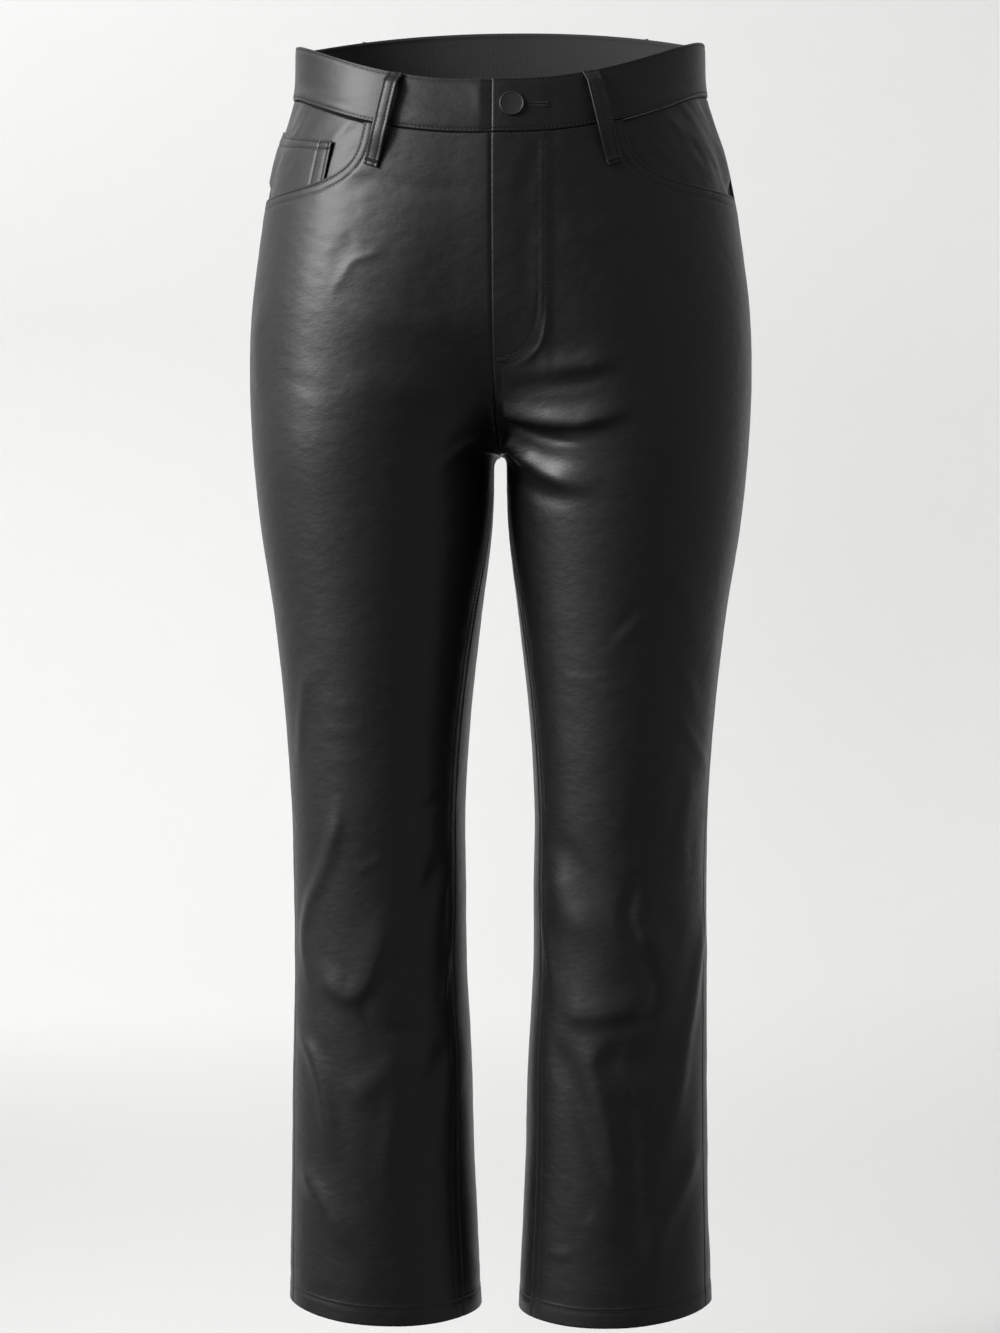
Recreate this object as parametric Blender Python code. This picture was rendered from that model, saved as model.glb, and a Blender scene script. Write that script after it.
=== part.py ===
"""Straight-leg faux leather trousers with a high waist, filled out as they are worn.

Metres, +Z up. The front faces -Y and the wearer's left is +X. The origin is the middle of the waist
opening, level with the waistband's top edge at the side seams. The cloth is a wall on one surface, which
runs round the waist and hips and splits at the crotch into two legs. Each place on it is a turn, in degrees
round one leg from the outer side (90 is the front, 180 the inner side, and a minus sign goes round the
back), and a height.
"""

import math

import bmesh
import bpy
import numpy as np
from mathutils import Vector

# ---------------------------------------------------------------- sizes of the cloth
PANEL_WALL = 0.0015
HEM_WALL = 0.0028
BAND_WALL = 0.0024
BAND_PROUD = 0.0006  # the waistband's face stands this far above the panels
BAND_HEIGHT = 0.041
SEAM_GAP = 0.0003
LAYER_GAP = 0.0003
LAYER_CLEARANCE = 0.0005  # between a small flat piece and the rounded cloth that it lies on
ROUNDNESS = 2.15  # exponent of the superellipse that each ring follows, 2 being an ellipse

# ---------------------------------------------------------------- the figure and the cut
CROTCH_Z = -0.3215
FRONT_WAIST_DIP = 0.046  # how far the waist falls from the side seams to the centre front
BACK_WAIST_RISE = 0.034
HEM_Z = -0.986
HEM_FRONT_DROP = 0.007
HEM_INNER_DROP = 0.006
HEM_DEPTH = 0.015
FRONT_CURVE = 0.110  # height over which the crotch seam curves under, in front and behind
BACK_CURVE = 0.135
ARCH_DROP = 0.008  # the legs reach their full gap this far below the crotch
CENTRE_ROUND = 0.014  # rounds the crease where the two halves' rings meet, fading out at the crotch

# One row for each level of the body, from the waist down.
COLUMNS = ("height", "side_x", "leg_x", "leg_y", "front_y", "back_y", "front_dip", "back_dip", "gap_x",
           "side_seam", "inseam")
STATIONS = (
    (0.040, 0.1590, 0.000, 0.000, -0.106, 0.106, 0.0000, 0.0000, 0.005, 0, 180),
    (0.000, 0.1610, 0.000, 0.000, -0.108, 0.108, 0.0000, 0.0000, 0.005, 0, 180),
    (-0.041, 0.1634, 0.000, 0.000, -0.112, 0.113, 0.0000, 0.0000, 0.005, 0, 180),
    (-0.060, 0.1690, 0.000, 0.001, -0.115, 0.118, 0.0000, 0.0000, 0.005, 0, 180),
    (-0.085, 0.1775, 0.000, 0.002, -0.118, 0.124, 0.0000, 0.0000, 0.005, 0, 180),
    (-0.120, 0.1850, 0.010, 0.004, -0.119, 0.134, 0.0002, 0.0004, 0.005, 0, 180),
    (-0.160, 0.1910, 0.030, 0.006, -0.118, 0.143, 0.0010, 0.0020, 0.005, 0, 180),
    (-0.210, 0.1970, 0.055, 0.008, -0.114, 0.149, 0.0030, 0.0060, 0.005, 0, 180),
    (-0.260, 0.1985, 0.078, 0.009, -0.108, 0.145, 0.0050, 0.0090, 0.005, 1, 180),
    (-0.3215, 0.1955, 0.098, 0.008, -0.103, 0.125, 0.0060, 0.0100, 0.005, 2, 180),
    (-0.370, 0.1905, 0.098, 0.006, -0.098, 0.106, 0.0060, 0.0100, 0.006, 4, 174),
    (-0.450, 0.1780, 0.097, 0.002, -0.090, 0.090, 0.0060, 0.0100, 0.015, 7, 163),
    (-0.530, 0.1690, 0.096, -0.002, -0.084, 0.079, 0.0060, 0.0100, 0.0235, 10, 158),
    (-0.600, 0.1640, 0.096, -0.003, -0.080, 0.073, 0.0060, 0.0100, 0.0272, 13, 156),
    (-0.660, 0.1627, 0.095, -0.002, -0.076, 0.072, 0.0060, 0.0100, 0.0265, 15, 154),
    (-0.720, 0.1623, 0.094, 0.000, -0.073, 0.073, 0.0060, 0.0100, 0.0265, 17, 152),
    (-0.800, 0.1635, 0.093, 0.001, -0.070, 0.072, 0.0060, 0.0100, 0.022, 19, 150),
    (-0.880, 0.1643, 0.092, 0.001, -0.068, 0.070, 0.0060, 0.0100, 0.0202, 20, 148),
    (-1.000, 0.1665, 0.090, 0.001, -0.067, 0.069, 0.0060, 0.0100, 0.0143, 21, 147),
)

# ---------------------------------------------------------------- pockets, fly and small pieces
SCOOP_TURN = 57.0  # where each front pocket's curved edge meets the waist seam
SCOOP_Z = -0.1215  # the same edge where it meets the side seam
SCOOP_ROUNDNESS = 4.6
FACING_UNDERLAP_TURN = 8.0
FACING_UNDERLAP = 0.014
FACING_WALL = 0.0012
FACING_DEPTH = 0.0044  # how deep the facing lies behind the pocket's edge
FACING_RIM_DEPTH = 0.0004  # the same at the side seam
FACING_RAMP_TURN = 14.0  # it sinks from the one to the other over this turn,
FACING_RAMP_Z = (0.020, 0.006)  # and between these heights above the pocket's lower edge
COIN_WALL = 0.0010
COIN_TURNS = (0.5, 47.0)
COIN_GAP = 0.0006  # between the coin pocket and the facing
COIN_TOP_Z = (-0.068, -0.086)
COIN_BOTTOM_Z = -0.1275
FLY_END_Z = -0.264
FLY_WIDTH = 0.038
FLY_FLAP_RAMP = 0.010  # the flap comes level with the panel over this width
FLY_EDGE_RAMP = (0.002, 0.012)  # where the right front starts to sink, and over what width
FLY_FLAP_OUT = 0.0010  # the fly's flap stands this far out,
FLY_EDGE_IN = 0.0016  # and the right front's edge below it lies this far in
FLY_LAYER_GAP = 0.0008  # between the layers behind the fly, whose facets differ a little
FLY_UNDERLAP = 0.012
SHIELD_WALL = 0.0012
SHIELD_X = (-0.012, 0.032)
ZIP_WALL = 0.0008
ZIP_X = (-0.006, 0.026)
BAND_OVERLAP_STEP = 0.0014
BAND_UNDERLAP_DEPTH = 0.0013
BAND_UNDERLAP = 0.030
BAND_OVERLAP_RAMP = (0.034, 0.012)  # where each layer of the overlap leaves the band's level, and the width
BAND_UNDERLAP_RAMP = (0.003, 0.016)
LOOP_WIDTH = 0.0125
LOOP_WALL = 0.0020
LOOP_ARCH = 0.0058
LOOP_BELOW_SEAM = 0.032
LOOP_SEWN = (0.16, 0.20)  # the shares of its length over which each end comes down to the cloth
BUTTON_X = 0.0150
BUTTON_Z = -0.0655
BUTTON_RADIUS = 0.0096
SHANK_RADIUS = 0.0022
BUTTONHOLE_LENGTH = 0.026
BUTTONHOLE_SLIT = 0.0014
SHANK_CLEARANCE = 0.0005

BLACK = {"color": (0.016, 0.0155, 0.016, 1.0), "roughness": 0.42}
THREAD_BLACK = {"color": (0.02, 0.02, 0.02, 1.0), "roughness": 0.7}
BUTTON_BLACK = {"color": (0.02, 0.02, 0.021, 1.0), "roughness": 0.38}


# ---------------------------------------------------------------- the surface
def smooth_column(name, height):
    """A station column at any height: a cubic through the rows, with the slopes of its neighbours."""
    table = np.array(STATIONS)[::-1]
    knots = table[:, 0]
    values = table[:, COLUMNS.index(name)]
    slopes = np.gradient(values, knots)
    height = np.clip(height, knots[0], knots[-1])
    i = np.clip(np.searchsorted(knots, height, side="right") - 1, 0, len(knots) - 2)
    step = knots[i + 1] - knots[i]
    s = (height - knots[i]) / step
    return (
        values[i] * (1 + 2 * s) * (1 - s) ** 2
        + values[i + 1] * s**2 * (3 - 2 * s)
        + slopes[i] * step * s * (1 - s) ** 2
        - slopes[i + 1] * step * s**2 * (1 - s)
    )


def ease(value):
    """0 below 0, 1 above 1, and a smooth S between."""
    s = np.clip(value, 0.0, 1.0)
    return s * s * (3 - 2 * s)


def centre_share(height, behind):
    """How far the centre line stands forward (or back), as a share of the leg's own depth there: 1 at the
    waist, falling on a quarter circle to 0 at the crotch."""
    curve = np.where(behind, BACK_CURVE, FRONT_CURVE)
    rise = np.clip((height - CROTCH_Z) / curve, 0.0, 1.0)
    depth = np.where(behind, smooth_column("back_y", height), -smooth_column("front_y", height))
    dip = np.where(behind, smooth_column("back_dip", height), smooth_column("front_dip", height))
    return np.sqrt(np.clip(1 - (1 - rise) ** 2, 0.0, 1.0)) * (1 - np.maximum(dip, 0.0) / depth)


def inner_turn(height, behind):
    """The turn of a panel's inner edge: the centre seam above the crotch, and the inseam below it."""
    centre = 180 - np.degrees(np.arcsin(np.clip(centre_share(height, behind), 0, 1) ** (ROUNDNESS / 2)))
    return np.where(height >= CROTCH_Z, centre, smooth_column("inseam", height))


def inner_reach(height, behind):
    """How far a ring reaches inwards from the middle of the leg. Above the crotch the two legs' rings are
    cut by the centre plane, and below it they end at the gap between the legs."""
    leg_x = smooth_column("leg_x", height)
    left_over = np.maximum(1 - centre_share(height, behind) ** ROUNDNESS, 1e-9)
    torso = leg_x / left_over ** (1 / ROUNDNESS)
    fall = np.clip((CROTCH_Z - height) / ARCH_DROP, 0.0, 1.0)
    arch = np.sqrt(1 - (1 - fall) ** 2)
    leg = leg_x - smooth_column("gap_x", height) * arch
    return np.where(height >= CROTCH_Z, torso, leg)


def surface(turn, height, half):
    """Points of the outer surface. half is 1 for the wearer's left and -1 for the right. A turn past the
    centre seam runs on over the other half."""
    turn, height = np.broadcast_arrays(np.asarray(turn, float), np.asarray(height, float))
    behind = turn < 0
    size = np.abs(turn)
    centre = inner_turn(height, behind)
    past = (size > centre) & (height >= CROTCH_Z)
    size = np.where(past, 2 * centre - size, size)
    leg_x = smooth_column("leg_x", height)
    leg_y = smooth_column("leg_y", height)
    depth = np.where(behind, smooth_column("back_y", height), smooth_column("front_y", height)) - leg_y
    cosine = np.cos(np.radians(size))
    sine = np.sin(np.radians(size))
    reach = np.where(cosine >= 0, smooth_column("side_x", height) - leg_x, inner_reach(height, behind))
    x = np.maximum(leg_x + np.sign(cosine) * reach * np.abs(cosine) ** (2 / ROUNDNESS), 0.0)
    y = leg_y + depth * np.abs(sine) ** (2 / ROUNDNESS)
    y = np.where(height > CROTCH_Z, centre_y(x, height, behind), y)
    return np.stack([x * np.where(past, -1, 1) * half, y, height], axis=-1)


def surface_normals(turn, height, half):
    """Outward normals of the surface. At the crotch they are those of the legs."""
    turn_step = 0.4
    step = 0.0004
    turn, height = np.broadcast_arrays(np.asarray(turn, float), np.asarray(height, float))
    on_leg = height <= CROTCH_Z + 1e-6
    base = np.where(on_leg, np.minimum(height, CROTCH_Z - 1e-5), height)
    above = np.where(on_leg, np.minimum(base + step, CROTCH_Z - 1e-5), base + step)
    below = np.where(on_leg, base - step, np.maximum(base - step, CROTCH_Z + 1e-5))
    up = surface(turn, above, half) - surface(turn, below, half)
    on = np.where(on_leg & (turn + turn_step > 180), turn + turn_step - 360, turn + turn_step)
    back = np.where(on_leg & (turn - turn_step < -180), turn - turn_step + 360, turn - turn_step)
    round_the_leg = surface(on, base, half) - surface(back, base, half)
    return unit(np.cross(up, round_the_leg) * half)


def unit(vectors):
    return vectors / np.maximum(np.linalg.norm(vectors, axis=-1, keepdims=True), 1e-12)


def centre_y(x, height, behind):
    """The surface's y at a distance x from the centre plane, above the crotch, with the crease at the centre
    rounded off."""
    leg_x = smooth_column("leg_x", height)
    leg_y = smooth_column("leg_y", height)
    round_off = CENTRE_ROUND * ease((height - CROTCH_Z - 0.004) / 0.050)
    near = 1 - ease(x / (4 * CENTRE_ROUND))
    offset = x + (np.hypot(x, round_off) - x) * near - leg_x
    reach = np.where(offset >= 0, smooth_column("side_x", height) - leg_x,
                     np.maximum(inner_reach(height, behind), 1e-6))
    share = np.clip(np.abs(offset) / reach, 0.0, 1.0)
    depth = np.where(behind, smooth_column("back_y", height), smooth_column("front_y", height)) - leg_y
    return leg_y + depth * (1 - share**ROUNDNESS) ** (1 / ROUNDNESS)


def front_point(x, height):
    """The surface in front at a signed x, for the pieces by the centre."""
    x, height = np.broadcast_arrays(np.asarray(x, float), np.asarray(height, float))
    return np.stack([x, centre_y(np.abs(x), height, False), height], axis=-1)


def front_normals(x, height):
    step = 0.0004
    to_right = front_point(x - step, height) - front_point(x + step, height)
    up = front_point(x, height + step) - front_point(x, height - step)
    return unit(np.cross(up, to_right))


def turn_at(x, height):
    """The turn in front that lies x from the centre plane, past the centre seam where x is below 0."""
    leg_x = smooth_column("leg_x", height)
    offset = np.abs(x) - leg_x
    reach = np.where(offset >= 0, smooth_column("side_x", height) - leg_x,
                     np.maximum(inner_reach(height, False), 1e-6))
    angle = np.degrees(np.arccos(np.clip(np.abs(offset) / reach, 0, 1) ** (ROUNDNESS / 2)))
    turn = np.where(offset >= 0, angle, 180 - angle)
    return np.where(x >= 0, turn, 2 * inner_turn(height, False) - turn)


def waist_top(turn):
    """Height of the waistband's top edge, which dips in front and rises behind."""
    sine = np.abs(np.sin(np.radians(turn)))
    return np.where(turn >= 0, -FRONT_WAIST_DIP * sine**2, BACK_WAIST_RISE * sine**1.3)


def waist_seam(turn):
    return waist_top(turn) - BAND_HEIGHT


def hem_height(turn):
    front = np.where(turn >= 0, np.sin(np.radians(turn)) ** 2, 0.0)
    inner = (1 - np.cos(np.radians(turn))) / 2
    return HEM_Z - HEM_FRONT_DROP * front - HEM_INNER_DROP * inner


# ---------------------------------------------------------------- solids from grids of points
def material(name, look):
    found = bpy.data.materials.get(name)
    if found:
        return found
    made = bpy.data.materials.new(name)
    made.use_nodes = True
    shader = made.node_tree.nodes["Principled BSDF"]
    shader.inputs["Base Color"].default_value = look["color"]
    shader.inputs["Roughness"].default_value = look["roughness"]
    shader.inputs["Metallic"].default_value = look.get("metallic", 0.0)
    return made


def object_from(name, bm, look, look_name):
    mesh = bpy.data.meshes.new(name)
    bmesh.ops.recalc_face_normals(bm, faces=bm.faces)
    bm.to_mesh(mesh)
    bm.free()
    mesh.shade_smooth()
    mesh.set_sharp_from_angle(angle=math.radians(40))
    mesh.materials.append(material(look_name, look))
    made = bpy.data.objects.new(name, mesh)
    bpy.context.scene.collection.objects.link(made)
    return made


def wall(name, outer, normals, thickness, look=BLACK, look_name="faux_leather", cells=None):
    """A closed wall: the outer grid, the same grid moved in by the thickness, and a rim all round. cells marks
    the squares of the grid that are there, all of them unless it is given."""
    rows, columns = outer.shape[:2]
    inner = outer - normals * np.broadcast_to(thickness, outer.shape[:2])[..., None]
    if cells is None:
        cells = np.ones((rows - 1, columns - 1), bool)
    bm = bmesh.new()
    layers = [[[bm.verts.new(p) for p in row] for row in layer] for layer in (outer, inner)]
    rim = set()
    for i, j in np.argwhere(cells):
        corners = ((i, j), (i, j + 1), (i + 1, j + 1), (i + 1, j))
        for layer in layers:
            bm.faces.new([layer[row][column] for row, column in corners])
        for start, end in zip(corners, corners[1:] + corners[:1]):
            if (end, start) in rim:
                rim.remove((end, start))
            else:
                rim.add((start, end))
    for (i, j), (k, m) in sorted(rim):
        bm.faces.new((layers[0][i][j], layers[0][k][m], layers[1][k][m], layers[1][i][j]))
    bmesh.ops.delete(bm, geom=[vertex for vertex in bm.verts if not vertex.link_faces])
    return object_from(name, bm, look, look_name)


def inset_edges(grid, top=0.0, bottom=0.0, first=0.0, last=0.0):
    """Moves a grid's border in by these distances, so that the pieces on each side of a seam stay apart."""
    grid = grid.copy()
    for near, far, distance in (
        ((slice(None), 0), (slice(None), 1), first),
        ((slice(None), -1), (slice(None), -2), last),
        ((0,), (1,), top),
        ((-1,), (-2,), bottom),
    ):
        step = grid[far] - grid[near]
        length = np.maximum(np.linalg.norm(step, axis=-1, keepdims=True), 1e-9)
        grid[near] = grid[near] + step / length * distance
    return grid


# ---------------------------------------------------------------- leg panels
RISE_COUNTS = (9, 1, 5)  # rows of the rise: down the fly, past its end, and under to the crotch
RISE_ROWS = sum(RISE_COUNTS)
FLY_FADE = 0.010  # the flap is level with the panel this far below the fly's end
LEG_ROWS = 19
FRONT_COLUMNS = 13
BACK_COLUMNS = 14
SCOOP_ROWS = 9


def centre_heights(behind, knots, counts):
    """Heights of rows down the centre seam, evenly spaced by length between the knots."""
    spread = np.linspace(0, 1, 400) ** 2
    height = CROTCH_Z + spread * (knots[0] - CROTCH_Z)
    length = path_length(surface(inner_turn(height, behind) * (-1 if behind else 1), height, 1))
    at_knots = np.interp(knots, height, length)
    rows = [np.linspace(a, b, n, endpoint=False) for a, b, n in zip(at_knots, at_knots[1:], counts)]
    return np.interp(np.concatenate([*rows, [0.0]]), length, height)


def leg_heights():
    """Heights of the rows below the crotch: close together by the crotch, and two for the hem's fold."""
    share = (np.arange(1, LEG_ROWS + 1) / LEG_ROWS) ** 1.5
    fold = HEM_Z + HEM_DEPTH
    return np.concatenate([CROTCH_Z + share * (fold + 0.0005 - CROTCH_Z), [fold, HEM_Z]])


def panel_grid(outer_path, inner_path, columns, half):
    """Points between two edges given as rows of (turn, height). The top row follows the waist seam and the
    bottom row the hem. A back panel starts in front of the side seam and ends in front of the inseam, so its
    turns run from just above 0 to below -180."""
    across = np.linspace(0, 1, columns + 1)[None, :]
    turn = outer_path[:, :1] + (inner_path[:, :1] - outer_path[:, :1]) * across
    turn = np.where(turn < -180, turn + 360, turn)
    height = outer_path[:, 1:] + (inner_path[:, 1:] - outer_path[:, 1:]) * ease(across)
    row = np.arange(len(turn))[:, None]
    last = len(turn) - 1
    at_top = waist_seam(turn[:1]) - height[:1]
    at_hem = hem_height(turn[-1:]) - height[-1:]
    height = height + at_top * np.clip(1 - row / RISE_ROWS, 0, 1) ** 3
    height = height + at_hem * np.clip((row - RISE_ROWS) / (last - RISE_ROWS), 0, 1) ** 3
    return surface(turn, height, half), surface_normals(turn, height, half), height


def fly_step(x, height, half):
    """How far the fly's flap stands out on the left, and how far the edge below it lies in on the right."""
    beside = (height > CROTCH_Z) * ease((height - FLY_END_Z) / FLY_FADE + 1)
    if half > 0:
        return FLY_FLAP_OUT * beside * (1 - ease((x - FLY_WIDTH) / FLY_FLAP_RAMP))
    start, width = FLY_EDGE_RAMP
    return -FLY_EDGE_IN * beside * (1 - ease((x - start) / width))


def scoop_edge(count):
    """The front pocket's curved edge as rows of (turn, height), evenly spaced from the waist seam to the side
    seam: a quarter of a superellipse in turn and height."""
    angle = np.radians(np.linspace(0, 90, 600))
    top = waist_seam(SCOOP_TURN)
    turn = SCOOP_TURN * np.cos(angle).clip(0) ** (2 / SCOOP_ROUNDNESS)
    height = top + (SCOOP_Z - top) * np.sin(angle) ** (2 / SCOOP_ROUNDNESS)
    length = path_length(surface(turn, height, 1))
    even = np.linspace(0, length[-1], count + 1)
    return np.stack([np.interp(even, length, turn), np.interp(even, length, height)], axis=1)


def path_length(points):
    """The length along a path up to each of its points."""
    return np.concatenate([[0.0], np.cumsum(np.linalg.norm(np.diff(points, axis=0), axis=1))])


def side_heights():
    """Heights of the rows down the side seam, from below the pocket's edge to the crotch."""
    return np.linspace(SCOOP_Z, CROTCH_Z, RISE_ROWS - SCOOP_ROWS + 1)[1:]


def front_panel(name, half):
    legs = leg_heights()
    down = np.concatenate([side_heights(), legs])
    side = np.stack([smooth_column("side_seam", down), down], axis=1)
    outer_path = np.concatenate([scoop_edge(SCOOP_ROWS), side])
    knots = (float(waist_seam(90.0)), FLY_END_Z, FLY_END_Z - FLY_FADE, CROTCH_Z)
    inner = np.concatenate([centre_heights(False, knots, RISE_COUNTS), legs])
    inner_path = np.stack([inner_turn(inner, False), inner], axis=1)
    grid, normals, height = panel_grid(outer_path, inner_path, FRONT_COLUMNS, half)
    grid = inset_edges(grid, top=SEAM_GAP / 2, first=SEAM_GAP / 2)
    grid = clear_of_centre(grid, height, half)
    cells = np.ones((grid.shape[0] - 1, grid.shape[1] - 1), bool)
    if half < 0:
        edge_z = np.maximum(height[:, -1:], FLY_END_Z)
        under_x = np.array([[0.4, 1.0]]) * FLY_UNDERLAP
        normals = np.concatenate([normals, front_normals(under_x, edge_z)], axis=1)
        grid = np.concatenate([grid, front_point(under_x, edge_z)], axis=1)
        height = np.concatenate([height, edge_z, edge_z], axis=1)
        cells = np.concatenate([cells, np.zeros((len(cells), 2), bool)], axis=1)
        cells[: RISE_COUNTS[0], -2:] = True
    lift = fly_step(grid[..., 0] * half, height, half)
    wall(name, grid + normals * lift[..., None], normals, panel_thickness(grid), cells=cells)


def clear_of_centre(grid, height, half):
    """Moves a panel's inner edge half a seam gap clear: off the centre plane above the crotch, and along the
    panel at the inseam."""
    grid = grid.copy()
    step = grid[:, -2] - grid[:, -1]
    step = step / np.maximum(np.linalg.norm(step, axis=1, keepdims=True), 1e-9) * SEAM_GAP / 2
    above = height[:, -1] >= CROTCH_Z
    grid[:, -1] += np.where(above[:, None], 0.0, step)
    clear_x = half * np.maximum(grid[:, -1, 0] * half, SEAM_GAP / 2)
    grid[:, -1, 0] = np.where(above, clear_x, grid[:, -1, 0])
    return grid


def panel_thickness(grid):
    """The wall's thickness at each point, which is greater in the last two rows, the hem's fold."""
    row = np.arange(len(grid))[:, None]
    return np.where(row >= len(grid) - 2, HEM_WALL, PANEL_WALL)


def back_panel(name, half):
    legs = leg_heights()
    beside_pocket = np.linspace(float(waist_seam(0.0)), SCOOP_Z, SCOOP_ROWS + 1)
    down = np.concatenate([beside_pocket, side_heights(), legs])
    outer_path = np.stack([smooth_column("side_seam", down), down], axis=1)
    rise = centre_heights(True, (float(waist_seam(-90.0)), CROTCH_Z), (RISE_ROWS,))
    inner = np.concatenate([rise, legs])
    turn = np.where(inner >= CROTCH_Z, -inner_turn(inner, True), smooth_column("inseam", inner) - 360)
    inner_path = np.stack([turn, inner], axis=1)
    grid, normals, height = panel_grid(outer_path, inner_path, BACK_COLUMNS, half)
    grid = inset_edges(grid, top=SEAM_GAP / 2, first=SEAM_GAP / 2)
    grid = clear_of_centre(grid, height, half)
    wall(name, grid, normals, panel_thickness(grid))


# ---------------------------------------------------------------- waistband, with its buttonhole
BAND_COLUMNS = 22  # along each half, from the centre front to the centre back
BAND_ROWS = 4


def band_lift(x, half):
    """The band's face above the surface: it steps out over the fly's overlap and in under it."""
    start, width = BAND_OVERLAP_RAMP if half > 0 else BAND_UNDERLAP_RAMP
    level = BAND_OVERLAP_STEP if half > 0 else -BAND_UNDERLAP_DEPTH
    return BAND_PROUD + (level - BAND_PROUD) * (1 - ease((x - start) / width))


def waistband():
    down = np.linspace(0, 1, BAND_ROWS)[:, None]
    front_turn = float(turn_at(-BAND_UNDERLAP, waist_top(90.0)))
    extra = np.linspace(front_turn, 90, 5)[:-1]
    one_side = 90 * (1 - 2 * np.linspace(0, 1, BAND_COLUMNS + 1))
    turns = [np.concatenate([extra, one_side])[None, :], one_side[::-1][None, 1:]]
    grids = []
    normals = []
    lifts = []
    for turn, half in zip(turns, (-1, 1)):
        top = waist_top(turn)
        height = top + (waist_seam(turn) - top) * down
        grid = surface(np.broadcast_to(turn, height.shape), height, half)
        grids.append(grid)
        normals.append(surface_normals(turn, height, half))
        lifts.append(np.where(turn > 0, band_lift(grid[..., 0] * half, half), BAND_PROUD))
    grid = np.concatenate(grids, axis=1)
    lift = np.concatenate(lifts, axis=1)
    normals = np.concatenate(normals, axis=1)
    grid = inset_edges(grid, bottom=SEAM_GAP / 2, last=SEAM_GAP / 2)
    band = wall("waistband", grid + normals * lift[..., None], normals, BAND_WALL)
    cut = band.modifiers.new("buttonhole", "BOOLEAN")
    cut.operation = "DIFFERENCE"
    cut.solver = "EXACT"
    cut.object = buttonhole_cutter()


def buttonhole_cutter():
    """A keyhole that follows the overlap: a round eye at the shank and a slit away from it. It ends in the
    gap between the band's two layers."""
    eye = SHANK_RADIUS + SHANK_CLEARANCE
    x = np.concatenate([BUTTON_X + eye * np.sin(np.radians(np.linspace(-80, 70, 9))),
                        np.linspace(BUTTON_X + eye + 0.0005, BUTTON_X + BUTTONHOLE_LENGTH, 6)])
    tall = np.sqrt(np.maximum(eye**2 - (x - BUTTON_X) ** 2, (BUTTONHOLE_SLIT / 2) ** 2))
    height = BUTTON_Z + np.stack([tall, -tall])
    grid = front_point(x, height)
    normals = front_normals(x, height)
    outside = 0.004
    inside = BAND_OVERLAP_STEP - BAND_WALL - LAYER_GAP / 2
    cutter = wall("buttonhole_cutter", grid + normals * outside, normals, outside - inside)
    cutter.hide_render = True
    cutter.display_type = "WIRE"
    return cutter


# ---------------------------------------------------------------- pockets
def pocket_facing(name, half):
    """The piece that shows inside the pocket's curve. It is level with the back panel at the side seam and
    sinks under the front panel elsewhere."""
    turn = np.linspace(0, SCOOP_TURN + FACING_UNDERLAP_TURN, 14)[None, :]
    down = np.linspace(0, 1, 9)[:, None]
    height = waist_seam(turn) + (SCOOP_Z - FACING_UNDERLAP - waist_seam(turn)) * down
    turn = np.broadcast_to(turn, height.shape)
    normals = surface_normals(turn, height, half)
    grid = inset_edges(surface(turn, height, half), top=SEAM_GAP / 2, first=SEAM_GAP / 2)
    wall(name, grid - normals * facing_depth(turn, height)[..., None], normals, FACING_WALL)


def facing_depth(turn, height):
    high, low = FACING_RAMP_Z
    from_side = ease(turn / FACING_RAMP_TURN)
    near_end = ease((SCOOP_Z + high - height) / (high - low))
    return FACING_RIM_DEPTH + (FACING_DEPTH - FACING_RIM_DEPTH) * np.maximum(from_side, near_end)


def coin_pocket(name, half):
    """The small patch pocket on one facing. Its lower part lies under the front panel."""
    share = np.linspace(0, 1, 10)[None, :]
    turn = COIN_TURNS[0] + (COIN_TURNS[1] - COIN_TURNS[0]) * share
    top = COIN_TOP_Z[0] + (COIN_TOP_Z[1] - COIN_TOP_Z[0]) * share
    down = np.linspace(0, 1, 7)[:, None]
    height = top + (COIN_BOTTOM_Z - top) * down
    turn = np.broadcast_to(turn, height.shape)
    grid = surface(turn, height, half)
    normals = surface_normals(turn, height, half)
    lift = COIN_GAP + COIN_WALL - facing_depth(turn, height)
    wall(name, grid + normals * lift[..., None], normals, COIN_WALL)


# ---------------------------------------------------------------- fly
def fly_patch(name, x_range, depth, thickness, above_end, look=BLACK, look_name="faux_leather"):
    """A strip behind the fly, from the waist seam to a little above the fly's end."""
    x = np.linspace(*x_range, 7)[None, :]
    top = waist_seam(90.0) - SEAM_GAP / 2
    height = top + (FLY_END_Z + above_end - top) * np.linspace(0, 1, 10)[:, None]
    grid = front_point(x, height)
    normals = front_normals(x, height)
    wall(name, grid - normals * depth, normals, thickness, look, look_name)


def fly():
    """The zip's closed strip and the shield behind it, under the flap and the edge of the right front."""
    zip_depth = FLY_EDGE_IN + PANEL_WALL + FLY_LAYER_GAP
    fly_patch("fly_zip", ZIP_X, zip_depth, ZIP_WALL, 0.008, THREAD_BLACK, "zip_tape")
    shield_depth = zip_depth + ZIP_WALL + FLY_LAYER_GAP
    fly_patch("fly_shield", SHIELD_X, shield_depth, SHIELD_WALL, 0.004)


# ---------------------------------------------------------------- belt loops
# One row for each loop: its name, its half, and the turns of its top and bottom ends.
LOOPS = (
    ("belt_loop_front_right", -1, 65.0, 62.5),
    ("belt_loop_front_left", 1, 65.0, 62.5),
    ("belt_loop_back_right", -1, -48.0, -46.0),
    ("belt_loop_back_left", 1, -48.0, -46.0),
    ("belt_loop_centre_back", 1, -90.0, -90.0),
)


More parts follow.
